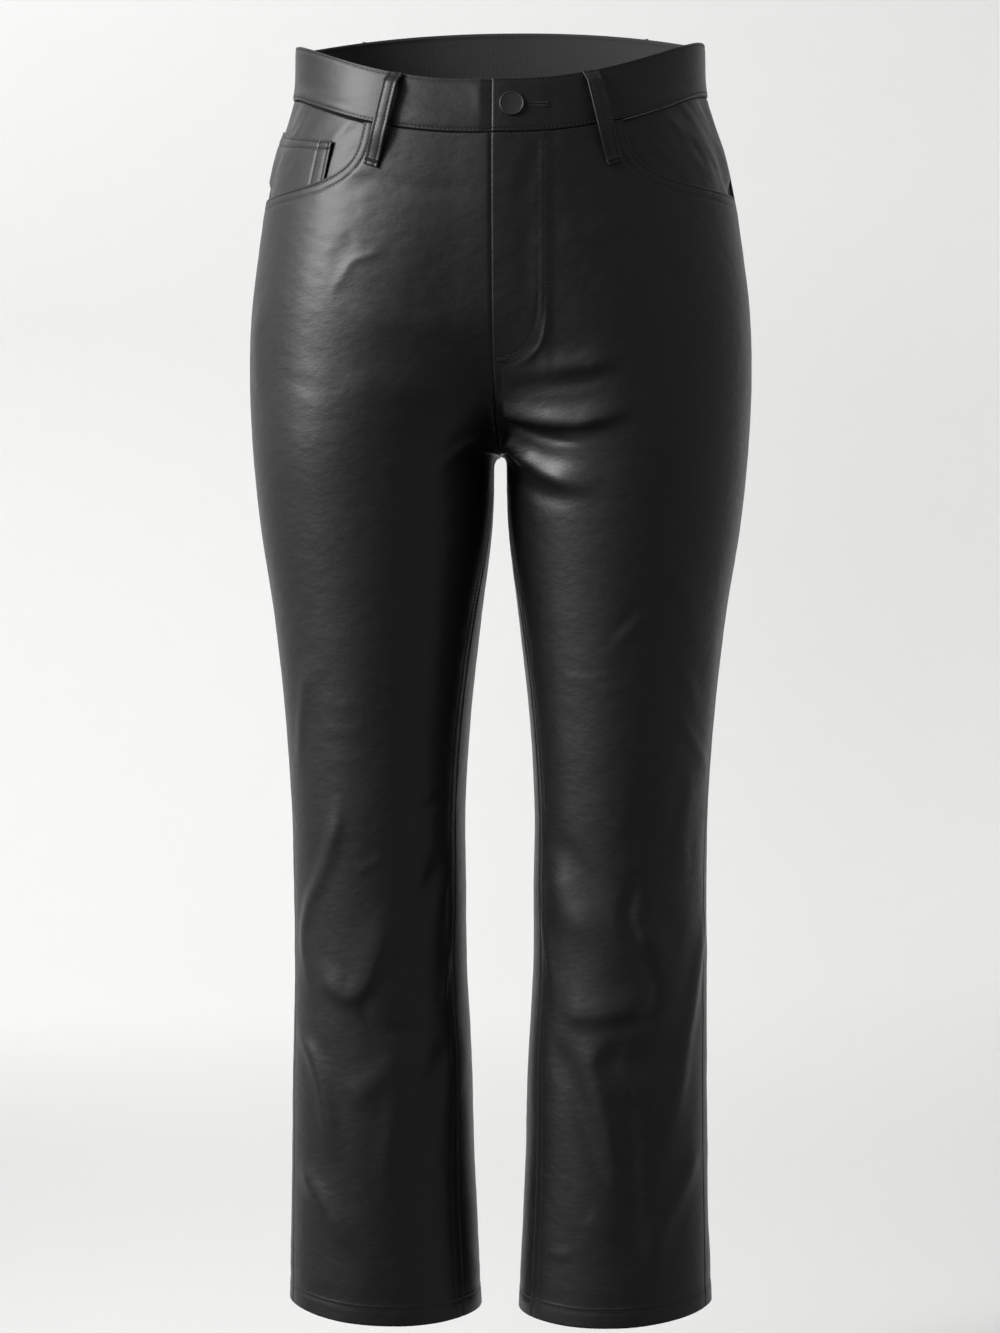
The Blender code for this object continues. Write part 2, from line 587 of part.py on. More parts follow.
def belt_loop(name, half, top_turn, bottom_turn):
    """A strip that is sewn down at both ends and arches off the waistband between them."""
    share = np.linspace(0, 1, 11)
    turn = top_turn + (bottom_turn - top_turn) * share
    top = waist_top(turn) - 0.0006
    height = top + (waist_seam(turn) - LOOP_BELOW_SEAM - top) * share
    centre = surface(turn, height, half)
    beside = surface(turn - 1.0, height, half)
    along = np.gradient(centre, axis=0)
    normal = unit(np.cross(along, beside - centre))
    normal *= np.sign((normal * (centre * [1, 1, 0])).sum(axis=1, keepdims=True))
    across = unit(np.cross(normal, along))
    sewn = np.where(share < 0.5, BAND_PROUD, 0.0) + LAYER_CLEARANCE
    arch = LOOP_ARCH * ease(share / LOOP_SEWN[0]) * ease((1 - share) / LOOP_SEWN[1])
    lift = sewn + arch + LOOP_WALL
    side = np.linspace(-0.5, 0.5, 3) * LOOP_WIDTH
    grid = centre[:, None, :] + across[:, None, :] * side[None, :, None] + (normal * lift[:, None])[:, None, :]
    wall(name, grid, np.broadcast_to(normal[:, None, :], grid.shape), LOOP_WALL)


# ---------------------------------------------------------------- button
def button():
    """A turned button whose shank goes through the buttonhole's eye to the layer below."""
    point = front_point(BUTTON_X, BUTTON_Z)
    normal = front_normals(BUTTON_X, BUTTON_Z)
    back = BAND_OVERLAP_STEP + LAYER_CLEARANCE
    foot = -BAND_UNDERLAP_DEPTH + LAYER_GAP
    profile = (
        (0.0, foot),
        (SHANK_RADIUS, foot),
        (SHANK_RADIUS, back + 0.0002),
        (BUTTON_RADIUS - 0.0008, back + 0.0002),
        (BUTTON_RADIUS, back + 0.0009),
        (BUTTON_RADIUS - 0.0001, back + 0.0020),
        (BUTTON_RADIUS - 0.0008, back + 0.0026),
        (BUTTON_RADIUS - 0.0018, back + 0.0023),
        (0.0, back + 0.0022),
    )
    bm = bmesh.new()
    points = [bm.verts.new((radius, 0.0, level)) for radius, level in profile]
    for a, b in zip(points, points[1:]):
        bm.edges.new((a, b))
    bmesh.ops.spin(bm, geom=list(bm.verts) + list(bm.edges), cent=(0, 0, 0), axis=(0, 0, 1),
                   angle=2 * math.pi, steps=24, use_merge=True)
    bmesh.ops.remove_doubles(bm, verts=bm.verts, dist=1e-6)
    made = object_from("button", bm, BUTTON_BLACK, "button_metal")
    made.rotation_mode = "QUATERNION"
    made.rotation_quaternion = Vector(normal).to_track_quat("Z", "Y")
    made.location = Vector(point)


def main():
    for old in list(bpy.data.objects):
        bpy.data.objects.remove(old)
    for side, half in (("right", -1), ("left", 1)):
        front_panel(f"front_{side}", half)
        back_panel(f"back_{side}", half)
        pocket_facing(f"pocket_facing_{side}", half)
    coin_pocket("coin_pocket", -1)
    waistband()
    fly()
    for loop in LOOPS:
        belt_loop(*loop)
    button()


main()
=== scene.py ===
# %% [markdown]
# # Faux leather trousers
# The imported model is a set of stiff, plain walls: it says where each panel lies and how big it is. This
# lesson dresses it. Every panel, strap and trimming is made again as a fine surface that lies where the
# solid lies, with its folds, seams, stitches and finish. The frame is loaded first and never changed.

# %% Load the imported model
import math

import bmesh
import bpy
import numpy as np
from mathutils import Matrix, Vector
from mathutils.kdtree import KDTree


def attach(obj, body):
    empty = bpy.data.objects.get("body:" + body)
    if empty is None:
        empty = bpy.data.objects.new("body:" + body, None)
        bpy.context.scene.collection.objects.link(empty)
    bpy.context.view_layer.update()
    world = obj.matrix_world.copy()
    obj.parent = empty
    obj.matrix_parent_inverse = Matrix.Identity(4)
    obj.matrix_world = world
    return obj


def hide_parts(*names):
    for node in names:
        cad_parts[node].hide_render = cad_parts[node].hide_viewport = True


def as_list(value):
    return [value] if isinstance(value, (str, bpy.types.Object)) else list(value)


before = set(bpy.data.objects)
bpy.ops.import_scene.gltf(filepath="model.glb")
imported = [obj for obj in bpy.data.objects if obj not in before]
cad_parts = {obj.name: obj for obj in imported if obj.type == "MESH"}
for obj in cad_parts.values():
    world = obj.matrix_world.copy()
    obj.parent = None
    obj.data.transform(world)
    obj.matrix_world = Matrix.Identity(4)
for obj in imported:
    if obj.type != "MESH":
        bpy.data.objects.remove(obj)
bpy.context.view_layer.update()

# %% [markdown]
# ## Camera
# The picture looks level at the trousers from the front, a few degrees from the wearer's left. A long lens
# far away keeps the legs parallel. The sensor's width belongs to the long side of the picture.

# %% Camera
EYE_TURN = math.radians(3.0)
EYE_DISTANCE = 2.4
EYE_Z = -0.488
LENS_MM = 82.05
SENSOR_MM = 36.0

camera_data = bpy.data.cameras.new("camera")
camera_data.lens = LENS_MM
camera_data.sensor_width = SENSOR_MM
camera = bpy.data.objects.new("camera", camera_data)
camera.location = (EYE_DISTANCE * math.sin(EYE_TURN), -EYE_DISTANCE * math.cos(EYE_TURN), EYE_Z)
camera.rotation_euler = (math.pi / 2, 0.0, EYE_TURN)
bpy.context.scene.collection.objects.link(camera)
bpy.context.scene.camera = camera
bpy.context.scene.view_settings.view_transform = "Standard"

# %% [markdown]
# ## From a grid of points to a mesh
# Cloth is a surface with two sides and a small thickness. A grid of points holds the outer side, and a
# second grid the inner side. Squares join the points of each grid, and a rim closes the border, so that the
# piece is one closed shell. Whole arrays go into the mesh at once, which is fast and easy to read.


# %% Mesh helpers
def unit(vectors):
    """Vectors divided by their own length."""
    return vectors / np.maximum(np.linalg.norm(vectors, axis=-1, keepdims=True), 1e-12)


def ease(value):
    """0 below 0, 1 above 1, and 3 s^2 - 2 s^3 between."""
    s = np.clip(value, 0.0, 1.0)
    return s * s * (3 - 2 * s)


def quads_of(rows, columns):
    """The squares of a grid whose points are numbered row by row."""
    i, j = np.meshgrid(np.arange(rows - 1), np.arange(columns - 1), indexing="ij")
    a = (i * columns + j).ravel()
    return np.stack([a, a + 1, a + columns + 1, a + columns], axis=1)


def mesh_object(name, points, faces, kinds=None, finishes=(), sharp=50.0):
    """A mesh object from points and equal-sided faces. Faces are turned outwards by the sign of the volume."""
    corners = points[faces]
    fan = np.concatenate([corners[:, [0, k, k + 1]] for k in range(1, faces.shape[1] - 1)])
    if np.linalg.det(fan - points.mean(0)).sum() < 0:
        faces = faces[:, ::-1]
    mesh = bpy.data.meshes.new(name)
    mesh.vertices.add(len(points))
    mesh.vertices.foreach_set("co", points.astype(np.float32).ravel())
    mesh.loops.add(faces.size)
    mesh.loops.foreach_set("vertex_index", faces.astype(np.int32).ravel())
    mesh.polygons.add(len(faces))
    mesh.polygons.foreach_set("loop_start", np.arange(0, faces.size, faces.shape[1], dtype=np.int32))
    for finish in finishes:
        mesh.materials.append(finish)
    if kinds is not None:
        mesh.polygons.foreach_set("material_index", kinds.astype(np.int32))
    mesh.update(calc_edges=True)
    mesh.validate()
    mesh.shade_smooth()
    mesh.set_sharp_from_angle(angle=math.radians(sharp))
    made = bpy.data.objects.new(name, mesh)
    bpy.context.scene.collection.objects.link(made)
    return made


def shell(name, outer, normals, thickness, finishes, cells=None):
    """A closed wall from a grid: the outer side, the inner side one thickness down the normals, and a rim
    along every side of a square that no other square shares. Inner squares take the second finish."""
    rows, columns = outer.shape[:2]
    inner = outer - normals * np.broadcast_to(thickness, (rows, columns))[..., None]
    quads = quads_of(rows, columns)
    if cells is not None:
        quads = quads[cells.ravel()]
    count = rows * columns
    starts, ends = quads.ravel(), np.roll(quads, -1, axis=1).ravel()
    border = ~np.isin(starts * count + ends, ends * count + starts)
    a, b = starts[border], ends[border]
    rim = np.stack([b, a, a + count, b + count], axis=1)
    faces = np.concatenate([quads, quads[:, ::-1] + count, rim])
    kinds = np.concatenate([np.zeros(len(quads)), np.ones(len(quads)), np.zeros(len(rim))])
    points = np.concatenate([outer.reshape(-1, 3), inner.reshape(-1, 3)])
    used, index = np.unique(faces, return_inverse=True)
    return mesh_object(name, points[used], index.reshape(faces.shape), kinds, finishes)


# %% [markdown]
# ## The surface that the cloth lies on
# The solids were made on one surface, so the fine pieces use the same one. A table gives the body's width
# and depth at each height. Each level is a superellipse, a rounded figure between an ellipse and a
# rectangle. It splits into two legs at the crotch. A place is a turn in degrees round one leg, from the
# outer side over the front, and a height in metres.

# %% The table of levels
ROUNDNESS = 2.15
CROTCH_Z = -0.3215
FRONT_WAIST_DIP = 0.046
BACK_WAIST_RISE = 0.034
BAND_HEIGHT = 0.041
HEM_Z = -0.986
HEM_FRONT_DROP = 0.007
HEM_INNER_DROP = 0.006
FRONT_CURVE = 0.110
BACK_CURVE = 0.135
ARCH_DROP = 0.008
SLOW_DROP = 0.016
CENTRE_ROUND = 0.014
CENTRE_ROUND_START = 0.004
CENTRE_ROUND_RISE = 0.050
NORMAL_STEP = 0.0004
NORMAL_TURN = 0.4
BESIDE_CROTCH = 1e-5
COLUMNS = ("height", "side_x", "leg_x", "leg_y", "front_y", "back_y", "front_dip", "back_dip", "gap_x",
           "side_seam", "inseam")
STATIONS = np.array((
    (0.040, 0.1590, 0.000, 0.000, -0.106, 0.106, 0.0000, 0.0000, 0.005, 0, 180),
    (0.000, 0.1610, 0.000, 0.000, -0.108, 0.108, 0.0000, 0.0000, 0.005, 0, 180),
    (-0.041, 0.1634, 0.000, 0.000, -0.112, 0.113, 0.0000, 0.0000, 0.005, 0, 180),
    (-0.060, 0.1690, 0.000, 0.001, -0.115, 0.118, 0.0000, 0.0000, 0.005, 0, 180),
    (-0.085, 0.1775, 0.000, 0.002, -0.118, 0.124, 0.0000, 0.0000, 0.005, 0, 180),
    (-0.120, 0.1850, 0.010, 0.004, -0.119, 0.134, 0.0002, 0.0004, 0.005, 0, 180),
    (-0.160, 0.1910, 0.030, 0.006, -0.118, 0.143, 0.0010, 0.0020, 0.005, 0, 180),
    (-0.210, 0.1970, 0.055, 0.008, -0.114, 0.149, 0.0030, 0.0060, 0.005, 0, 180),
    (-0.260, 0.1985, 0.078, 0.009, -0.108, 0.145, 0.0050, 0.0090, 0.005, 1, 180),
    (-0.3215, 0.1955, 0.098, 0.008, -0.103, 0.125, 0.0060, 0.0100, 0.005, 2, 180),
    (-0.370, 0.1905, 0.098, 0.006, -0.098, 0.106, 0.0060, 0.0100, 0.006, 4, 174),
    (-0.450, 0.1780, 0.097, 0.002, -0.090, 0.090, 0.0060, 0.0100, 0.015, 7, 163),
    (-0.530, 0.1690, 0.096, -0.002, -0.084, 0.079, 0.0060, 0.0100, 0.0235, 10, 158),
    (-0.600, 0.1640, 0.096, -0.003, -0.080, 0.073, 0.0060, 0.0100, 0.0272, 13, 156),
    (-0.660, 0.1627, 0.095, -0.002, -0.076, 0.072, 0.0060, 0.0100, 0.0265, 15, 154),
    (-0.720, 0.1623, 0.094, 0.000, -0.073, 0.073, 0.0060, 0.0100, 0.0265, 17, 152),
    (-0.800, 0.1635, 0.093, 0.001, -0.070, 0.072, 0.0060, 0.0100, 0.022, 19, 150),
    (-0.880, 0.1643, 0.092, 0.001, -0.068, 0.070, 0.0060, 0.0100, 0.0202, 20, 148),
    (-1.000, 0.1665, 0.090, 0.001, -0.067, 0.069, 0.0060, 0.0100, 0.0143, 21, 147),
))[::-1]
SLOPES = np.gradient(STATIONS, STATIONS[:, 0], axis=0)


# %% The surface
def column(name, height):
    """One column of the table at any height, on a cubic through the rows with their neighbours' slopes."""
    knots = STATIONS[:, 0]
    values, slopes = STATIONS[:, COLUMNS.index(name)], SLOPES[:, COLUMNS.index(name)]
    height = np.clip(height, knots[0], knots[-1])
    i = np.clip(np.searchsorted(knots, height, side="right") - 1, 0, len(knots) - 2)
    step = knots[i + 1] - knots[i]
    s = (height - knots[i]) / step
    return (values[i] * (1 + 2 * s) * (1 - s) ** 2 + values[i + 1] * s**2 * (3 - 2 * s)
            + slopes[i] * step * s * (1 - s) ** 2 - slopes[i + 1] * step * s**2 * (1 - s))


def centre_share(height, behind):
    """How far the centre line stands out as a share of the leg's depth: a quarter circle down to the crotch."""
    rise = np.clip((height - CROTCH_Z) / np.where(behind, BACK_CURVE, FRONT_CURVE), 0.0, 1.0)
    depth = np.where(behind, column("back_y", height), -column("front_y", height))
    dip = np.where(behind, column("back_dip", height), column("front_dip", height))
    return np.sqrt(np.clip(1 - (1 - rise) ** 2, 0.0, 1.0)) * (1 - np.maximum(dip, 0.0) / depth)


def inner_turn(height, behind):
    """The turn of a panel's inner edge: the centre seam above the crotch, and the inseam below."""
    centre = 180 - np.degrees(np.arcsin(np.clip(centre_share(height, behind), 0, 1) ** (ROUNDNESS / 2)))
    return np.where(height >= CROTCH_Z, centre, column("inseam", height))


def inner_reach(height, behind, edge=1.0):
    """How far a level reaches inwards from the middle of the leg. The gap between the legs opens as a round
    arch at the inseam, where edge is 1, and more slowly away from it."""
    leg_x = column("leg_x", height)
    left_over = np.maximum(1 - centre_share(height, behind) ** ROUNDNESS, 1e-9)
    arch, slow = (np.clip((CROTCH_Z - height) / drop, 0.0, 1.0) for drop in (ARCH_DROP, SLOW_DROP))
    opened = edge * np.sqrt(1 - (1 - arch) ** 2) + (1 - edge) * (1 - (1 - slow) ** 2)
    leg = leg_x - column("gap_x", height) * opened
    return np.where(height >= CROTCH_Z, leg_x / left_over ** (1 / ROUNDNESS), leg)


def depth_at(x, height, behind):
    """The surface's y at a distance x from the centre plane: leg_y + depth (1 - share^n)^(1/n)."""
    leg_x, leg_y = column("leg_x", height), column("leg_y", height)
    round_off = CENTRE_ROUND * ease((height - CROTCH_Z - CENTRE_ROUND_START) / CENTRE_ROUND_RISE)
    near = 1 - ease(x / (4 * CENTRE_ROUND))
    offset = x + (np.hypot(x, round_off) - x) * near - leg_x
    reach = np.where(offset >= 0, column("side_x", height) - leg_x,
                     np.maximum(inner_reach(height, behind), 1e-6))
    share = np.clip(np.abs(offset) / reach, 0.0, 1.0)
    depth = np.where(behind, column("back_y", height), column("front_y", height)) - leg_y
    return leg_y + depth * (1 - share**ROUNDNESS) ** (1 / ROUNDNESS)


def surface(turn, height, half):
    """Points of the surface. half is 1 for the wearer's left and -1 for the right."""
    turn, height = np.broadcast_arrays(np.asarray(turn, float), np.asarray(height, float))
    behind, size = turn < 0, np.abs(turn)
    centre = inner_turn(height, behind)
    past = (size > centre) & (height >= CROTCH_Z)
    size = np.where(past, 2 * centre - size, size)
    leg_x, leg_y = column("leg_x", height), column("leg_y", height)
    depth = np.where(behind, column("back_y", height), column("front_y", height)) - leg_y
    cosine, sine = np.cos(np.radians(size)), np.sin(np.radians(size))
    inwards = inner_reach(height, behind, np.abs(cosine) ** 10)
    reach = np.where(cosine >= 0, column("side_x", height) - leg_x, inwards)
    x = np.maximum(leg_x + np.sign(cosine) * reach * np.abs(cosine) ** (2 / ROUNDNESS), 0.0)
    y = leg_y + depth * np.abs(sine) ** (2 / ROUNDNESS)
    y = np.where(height > CROTCH_Z, depth_at(x, height, behind), y)
    return np.stack([x * np.where(past, -1, 1) * half, y, height], axis=-1)


def surface_normals(turn, height, half):
    """Outward normals, from the cross product of a small step up and a small step round."""
    turn, height = np.broadcast_arrays(np.asarray(turn, float), np.asarray(height, float))
    on_leg = height <= CROTCH_Z + 1e-6
    base = np.where(on_leg, np.minimum(height, CROTCH_Z - BESIDE_CROTCH), height)
    above = np.where(on_leg, np.minimum(base + NORMAL_STEP, CROTCH_Z - BESIDE_CROTCH), base + NORMAL_STEP)
    below = np.where(on_leg, base - NORMAL_STEP, np.maximum(base - NORMAL_STEP, CROTCH_Z + BESIDE_CROTCH))
    up = surface(turn, above, half) - surface(turn, below, half)
    on, back = turn + NORMAL_TURN, turn - NORMAL_TURN
    on = np.where(on_leg & (on > 180), on - 360, on)
    back = np.where(on_leg & (back < -180), back + 360, back)
    return unit(np.cross(up, surface(on, base, half) - surface(back, base, half)) * half)


def turn_at(x, height, behind=False):
    """The turn of the place that lies x from the centre plane, past the centre seam where x is below 0."""
    offset = np.abs(x) - column("leg_x", height)
    reach = np.where(offset >= 0, column("side_x", height) - column("leg_x", height),
                     np.maximum(inner_reach(height, behind), 1e-6))
    angle = np.degrees(np.arccos(np.clip(np.abs(offset) / reach, 0, 1) ** (ROUNDNESS / 2)))
    turn = np.where(offset >= 0, angle, 180 - angle)
    turn = np.where(x >= 0, turn, 2 * inner_turn(height, behind) - turn)
    return -turn if behind else turn


def waist_top(turn):
    """Height of the waistband's top edge, which dips in front and rises behind."""
    sine = np.abs(np.sin(np.radians(turn)))
    return np.where(turn >= 0, -FRONT_WAIST_DIP * sine**2, BACK_WAIST_RISE * sine**1.3)


def waist_seam(turn):
    """Height of the seam under the waistband."""
    return waist_top(turn) - BAND_HEIGHT


def hem_height(turn):
    """Height of the hem's edge, which is lower in front and at the inseam."""
    front = np.where(turn >= 0, np.sin(np.radians(turn)) ** 2, 0.0)
    return HEM_Z - HEM_FRONT_DROP * front - HEM_INNER_DROP * (1 - np.cos(np.radians(turn))) / 2


# %% [markdown]
# ## Folds
# Faux leather doesn't drape in fine ripples. It breaks into a few soft ridges and troughs, most of them
# from the knee down, where the leg hangs wide, and at the crotch, where the cloth is pulled.
# Each fold is a line on the surface with a width and a height. The cloth is lifted along its normal by
# height * exp(-(distance / width)^2), and the lift fades out towards both ends. A very slow noise is added,
# so that no reflection is perfectly smooth.

# %% Folds
# (width mm, height mm, lean, start, ((x, z) mm, ...)): a lean above 0 makes the left of the line gentler, and
# start is the share of its length over which the fold rises.
FRONT_FOLDS = (
    (24, 2.4, 0, 0.22, ((0, 30), (0, -60), (0, -140), (0, -220), (0, -300), (0, -318))),
    (8, 1, 0, 0.12, ((-81, -65), (-58, -71), (-32, -77), (-3, -79))),
    (5, 0.6, 0, 0.3, ((-11, -48), (-8, -62), (-7, -79))),
    (5, -0.5, 0, 0.2, ((-161, -31), (-126, -48), (-95, -60))),
    (4, 0.5, 0, 0.2, ((-159, -41), (-126, -56), (-95, -68))),
    (5, -0.6, 0, 0.3, ((107, -53), (128, -46), (153, -36))),
    (7, -0.9, 0, 0.22, ((-118, -123), (-93, -120), (-71, -126), (-39, -130), (-4, -132))),
    (8, -0.5, 0, 0.22, ((-102, -162), (-116, -175), (-127, -193))),
    (3.5, 0.7, 0, 0.22, ((-80, -171), (-92, -177), (-105, -181), (-112, -189), (-119, -199), (-128, -213))),
    (13, 1, 0, 0.22, ((-115, -224), (-69, -228), (-24, -229), (0, -228))),
    (12, 1.1, 0, 0.22, ((-122, -275), (-70, -277), (-33, -279), (-4, -277))),
    (6, 0.22, 0, 0.22, ((-161, -256), (-141, -263), (-116, -265))),
    (8, 0.35, 0, 0.22, ((-161, -276), (-130, -289), (-108, -278))),
    (14, 1.2, 0, 0.22, ((-181, -199), (-187, -239), (-179, -287))),
    (6, 1.5, 0.3, 0.22, ((-5, -307), (-24, -319), (-41, -332), (-53, -347))),
    (10, 0.8, 0, 0.22, ((-92, -340), (-56, -328), (-25, -309))),
    (8, 2.6, 0.2, 0.3, ((32, -266), (53, -263), (80, -260), (102, -255))),
    (6, -1.1, 0, 0.15, ((9, -277), (35, -276), (66, -274), (95, -272))),
    (8, 5.4, 0.35, 0.08, ((3, -293), (16, -296), (39, -302), (67, -304), (92, -298), (115, -289))),
    (4.5, -1.8, 0, 0.08, ((4, -295), (15, -303), (29, -310), (49, -316), (78, -319))),
    (9, 5.2, 0.35, 0.08, ((6, -310), (15, -322), (30, -335), (47, -345), (66, -351), (87, -353))),
    (6, -1.8, 0, 0.1, ((7, -334), (25, -350), (46, -360), (72, -364))),
    (8, 0.2, 0, 0.22, ((18, -363), (41, -376), (55, -380))),
    (6.5, 3.2, 0.3, 0.12, ((7, -311), (15, -318), (26, -328), (39, -338))),
    (2.4, 0.8, 0, 0.3, ((40, -211), (40, -229), (37, -243), (29, -253), (18, -259), (7, -261))),
    (9, -0.8, 0, 0.22, ((72, -162), (111, -174), (137, -195), (151, -223))),
    (9, 0.5, 0, 0.22, ((48, -162), (74, -165), (96, -161))),
    (5, -0.4, 0, 0.22, ((35, -91), (32, -108), (26, -129), (22, -149))),
    (6, 0.35, 0, 0.22, ((23, -90), (17, -112), (11, -137))),
    (6, -0.5, 0, 0.22, ((29, -149), (26, -183), (28, -212))),
    (4.5, 0.5, 0, 0.22, ((117, -447), (104, -461), (87, -477))),
    (4, 0.3, 0, 0.22, ((50, -494), (73, -497), (94, -493))),
    (4, 0.35, 0, 0.22, ((78, -506), (96, -505), (116, -499))),
    (3, -0.3, 0, 0.22, ((52, -490), (75, -493), (97, -486))),
    (3.2, -0.45, 0, 0.22, ((114, -441), (99, -455), (84, -470))),
    (6, 1, 0, 0.22, ((139, -486), (148, -502), (157, -520))),
    (6, 1.2, 0, 0.22, ((137, -519), (149, -542), (165, -570))),
    (10, 0.8, 0, 0.22, ((136, -407), (149, -445), (157, -483))),
    (6, 0.25, 0, 0.22, ((-135, -516), (-116, -519), (-98, -515))),
    (6, 0.35, 0, 0.22, ((-137, -536), (-115, -538), (-92, -534))),
    (6, 0.25, 0, 0.22, ((-136, -558), (-113, -561), (-93, -556))),
    (3.5, 0.6, 0, 0.22, ((-109, -646), (-97, -641), (-82, -631))),
    (7, 1.2, 0, 0.22, ((-143, -476), (-151, -530), (-155, -580))),
    (7, 2.2, 0, 0.22, ((-120, -583), (-122, -607), (-129, -631), (-137, -653), (-145, -670), (-150, -691),
     (-150, -710), (-146, -729), (-139, -750))),
    (11, 2.6, 0.45, 0.22, ((-141, -715), (-129, -733), (-115, -743), (-101, -735), (-92, -715), (-83, -695),
     (-74, -675), (-70, -658))),
    (11, -2.4, 0, 0.22, ((-39, -627), (-48, -650), (-57, -672), (-68, -698), (-76, -723), (-82, -744))),
    (5.5, -1.1, 0, 0.22, ((-102, -741), (-99, -757), (-88, -766), (-70, -769), (-51, -767))),
    (6, -0.6, 0, 0.22, ((-35, -651), (-37, -689), (-39, -720))),
    (3.5, 0.8, 0, 0.22, ((-38, -708), (-39, -733), (-42, -758))),
    (6, -0.9, 0, 0.22, ((-38, -584), (-51, -597), (-67, -609))),
    (8, 2.86, 0, 0.22, ((-158, -770), (-143, -789), (-135, -811), (-131, -834), (-126, -857), (-117, -880))),
    (9, 2.34, 0, 0.22, ((-155, -873), (-142, -892), (-130, -909), (-118, -929), (-110, -949))),
    (11.5, -2.5, 0, 0.22, ((-39, -767), (-44, -792), (-52, -819), (-60, -845), (-67, -872), (-75, -898))),
    (11, 1.69, 0, 0.22, ((-115, -826), (-96, -810), (-79, -795), (-63, -779))),
    (9, 1.17, 0, 0.22, ((-72, -790), (-77, -829), (-82, -871), (-90, -909))),
    (12.5, -1.7, 0, 0.3, ((36, -611), (49, -627), (63, -641), (74, -658), (84, -676), (90, -695))),
    (13, 1.5, 0, 0.22, ((41, -644), (48, -662), (57, -679), (73, -690), (90, -698))),
    (6.5, -2.1, 0, 0.22, ((110, -636), (106, -658), (102, -676), (106, -696), (115, -715), (123, -733),
     (123, -746), (115, -757), (100, -763), (80, -765), (65, -758))),
    (11, 2.2, 0.35, 0.22, ((49, -755), (71, -756), (90, -754), (106, -748), (116, -737), (117, -721))),
    (13, -2.3, 0, 0.22, ((79, -780), (103, -792), (128, -782), (140, -767))),
    (9, 2.6, 0, 0.22, ((161, -671), (158, -702), (154, -728), (150, -755), (145, -781), (141, -808),
     (136, -834), (129, -861), (122, -890))),
    (9, 2.34, 0, 0.22, ((158, -859), (148, -879), (139, -897), (129, -916), (123, -937), (118, -966))),
    (10, -2.21, 0, 0.22, ((102, -798), (103, -836), (105, -875), (106, -921), (106, -967))),
    (10, -2.1, 0, 0.22, ((44, -769), (53, -795), (63, -822), (71, -848), (80, -871), (90, -898))),
    (9, 1.82, 0, 0.22, ((70, -767), (74, -798), (80, -825), (88, -852), (94, -881))),
    (9, -0.9, 0, 0.22, ((119, -669), (129, -676), (136, -691), (137, -713))),
    (8, 0.8, 0, 0.22, ((111, -686), (123, -703), (128, -728))),
    (6, 0.9, 0, 0.22, ((33, -672), (38, -700), (42, -727), (46, -752))),
    (4, 0.8, 0, 0.22, ((40, -941), (51, -941), (62, -938))),
    (7, 0.8, 0, 0.22, ((70, -908), (80, -917), (94, -926))),
    (9, 1.1, 0, 0.22, ((151, -564), (146, -597), (143, -630), (150, -663))),
    (8, -0.9, 0, 0.22, ((113, -571), (109, -604), (106, -638))),
)
BACK_FOLDS = (
    (9, -2.72, 0.2, 0.22, ((14, -322), (48, -330), (92, -322), (140, -300))),
    (10, 2.55, 0, 0.22, ((18, -342), (60, -352), (110, -346))),
    (8, -2.38, 0.2, 0.22, ((-12, -318), (-52, -328), (-96, -324), (-142, -308))),
    (10, 2.21, 0, 0.22, ((-20, -340), (-66, -352), (-114, -350))),
    (8, 1.53, 0, 0.22, ((16, -150), (52, -140), (96, -138))),
    (8, 1.36, 0, 0.22, ((-18, -160), (-58, -146), (-100, -146))),
    (7, -2.55, 0, 0.22, ((48, -492), (86, -500), (132, -492))),
    (8, 2.55, 0, 0.22, ((44, -516), (90, -522), (140, -508))),
    (7, -2.38, 0, 0.22, ((46, -540), (88, -548), (136, -536))),
    (7, -2.38, 0, 0.22, ((-50, -498), (-90, -504), (-134, -498))),
    (8, 2.55, 0, 0.22, ((-46, -520), (-92, -528), (-142, -516))),
    (7, -2.21, 0, 0.22, ((-48, -548), (-86, -554), (-132, -546))),
    (9, 2.72, 0, 0.22, ((146, -610), (120, -650), (84, -684))),
    (8, -2.72, 0, 0.22, ((52, -664), (84, -706), (128, -732))),
    (9, 2.89, 0, 0.22, ((142, -760), (112, -792), (70, -810))),
    (9, -2.38, 0, 0.22, ((56, -812), (92, -850), (134, -880))),
    (9, 2.55, 0, 0.22, ((-146, -622), (-118, -660), (-80, -690))),
    (8, -2.89, 0, 0.22, ((-50, -676), (-82, -716), (-126, -738))),
    (9, 2.72, 0, 0.22, ((-142, -778), (-110, -800), (-70, -822))),
    (9, -2.38, 0, 0.22, ((-52, -826), (-90, -864), (-132, -896))),
)


FOLD_REACH = 3  # widths from a fold's line at which its lift ends
FOLD_END_SHARE = 0.4
WAVES = (  # stretch of x, y and z, size and height in metres, and the seed of the slow waves
    ((1, 1, 0.6), 0.055, 0.0009, 3),
    ((1, 1, 0.8), 0.021, 0.00026, 4),
)
CRINKLES = ((0.9, 0.9, 1.3), 0.0085, 0.00013, 5)
LOOSE_FROM_Z = -0.33
LOOSE_DROP = 0.35
LEAST_WAVES = 0.25
NOISE_CELLS = 24


def smooth_line(knots, per_span=6):
    """A cubic curve through the knots, which passes each one in the direction of its neighbours."""
    knots = np.asarray(knots, float)
    padded = np.concatenate([2 * knots[:1] - knots[1:2], knots, 2 * knots[-1:] - knots[-2:-1]])
    s = np.linspace(0, 1, per_span, endpoint=False)[:, None]
    spans = [
        0.5 * (2 * b + (c - a) * s + (2 * a - 5 * b + 4 * c - d) * s**2 + (3 * b - a - 3 * c + d) * s**3)
        for a, b, c, d in zip(padded, padded[1:], padded[2:], padded[3:])
    ]
    return np.concatenate([*spans, knots[-1:]])


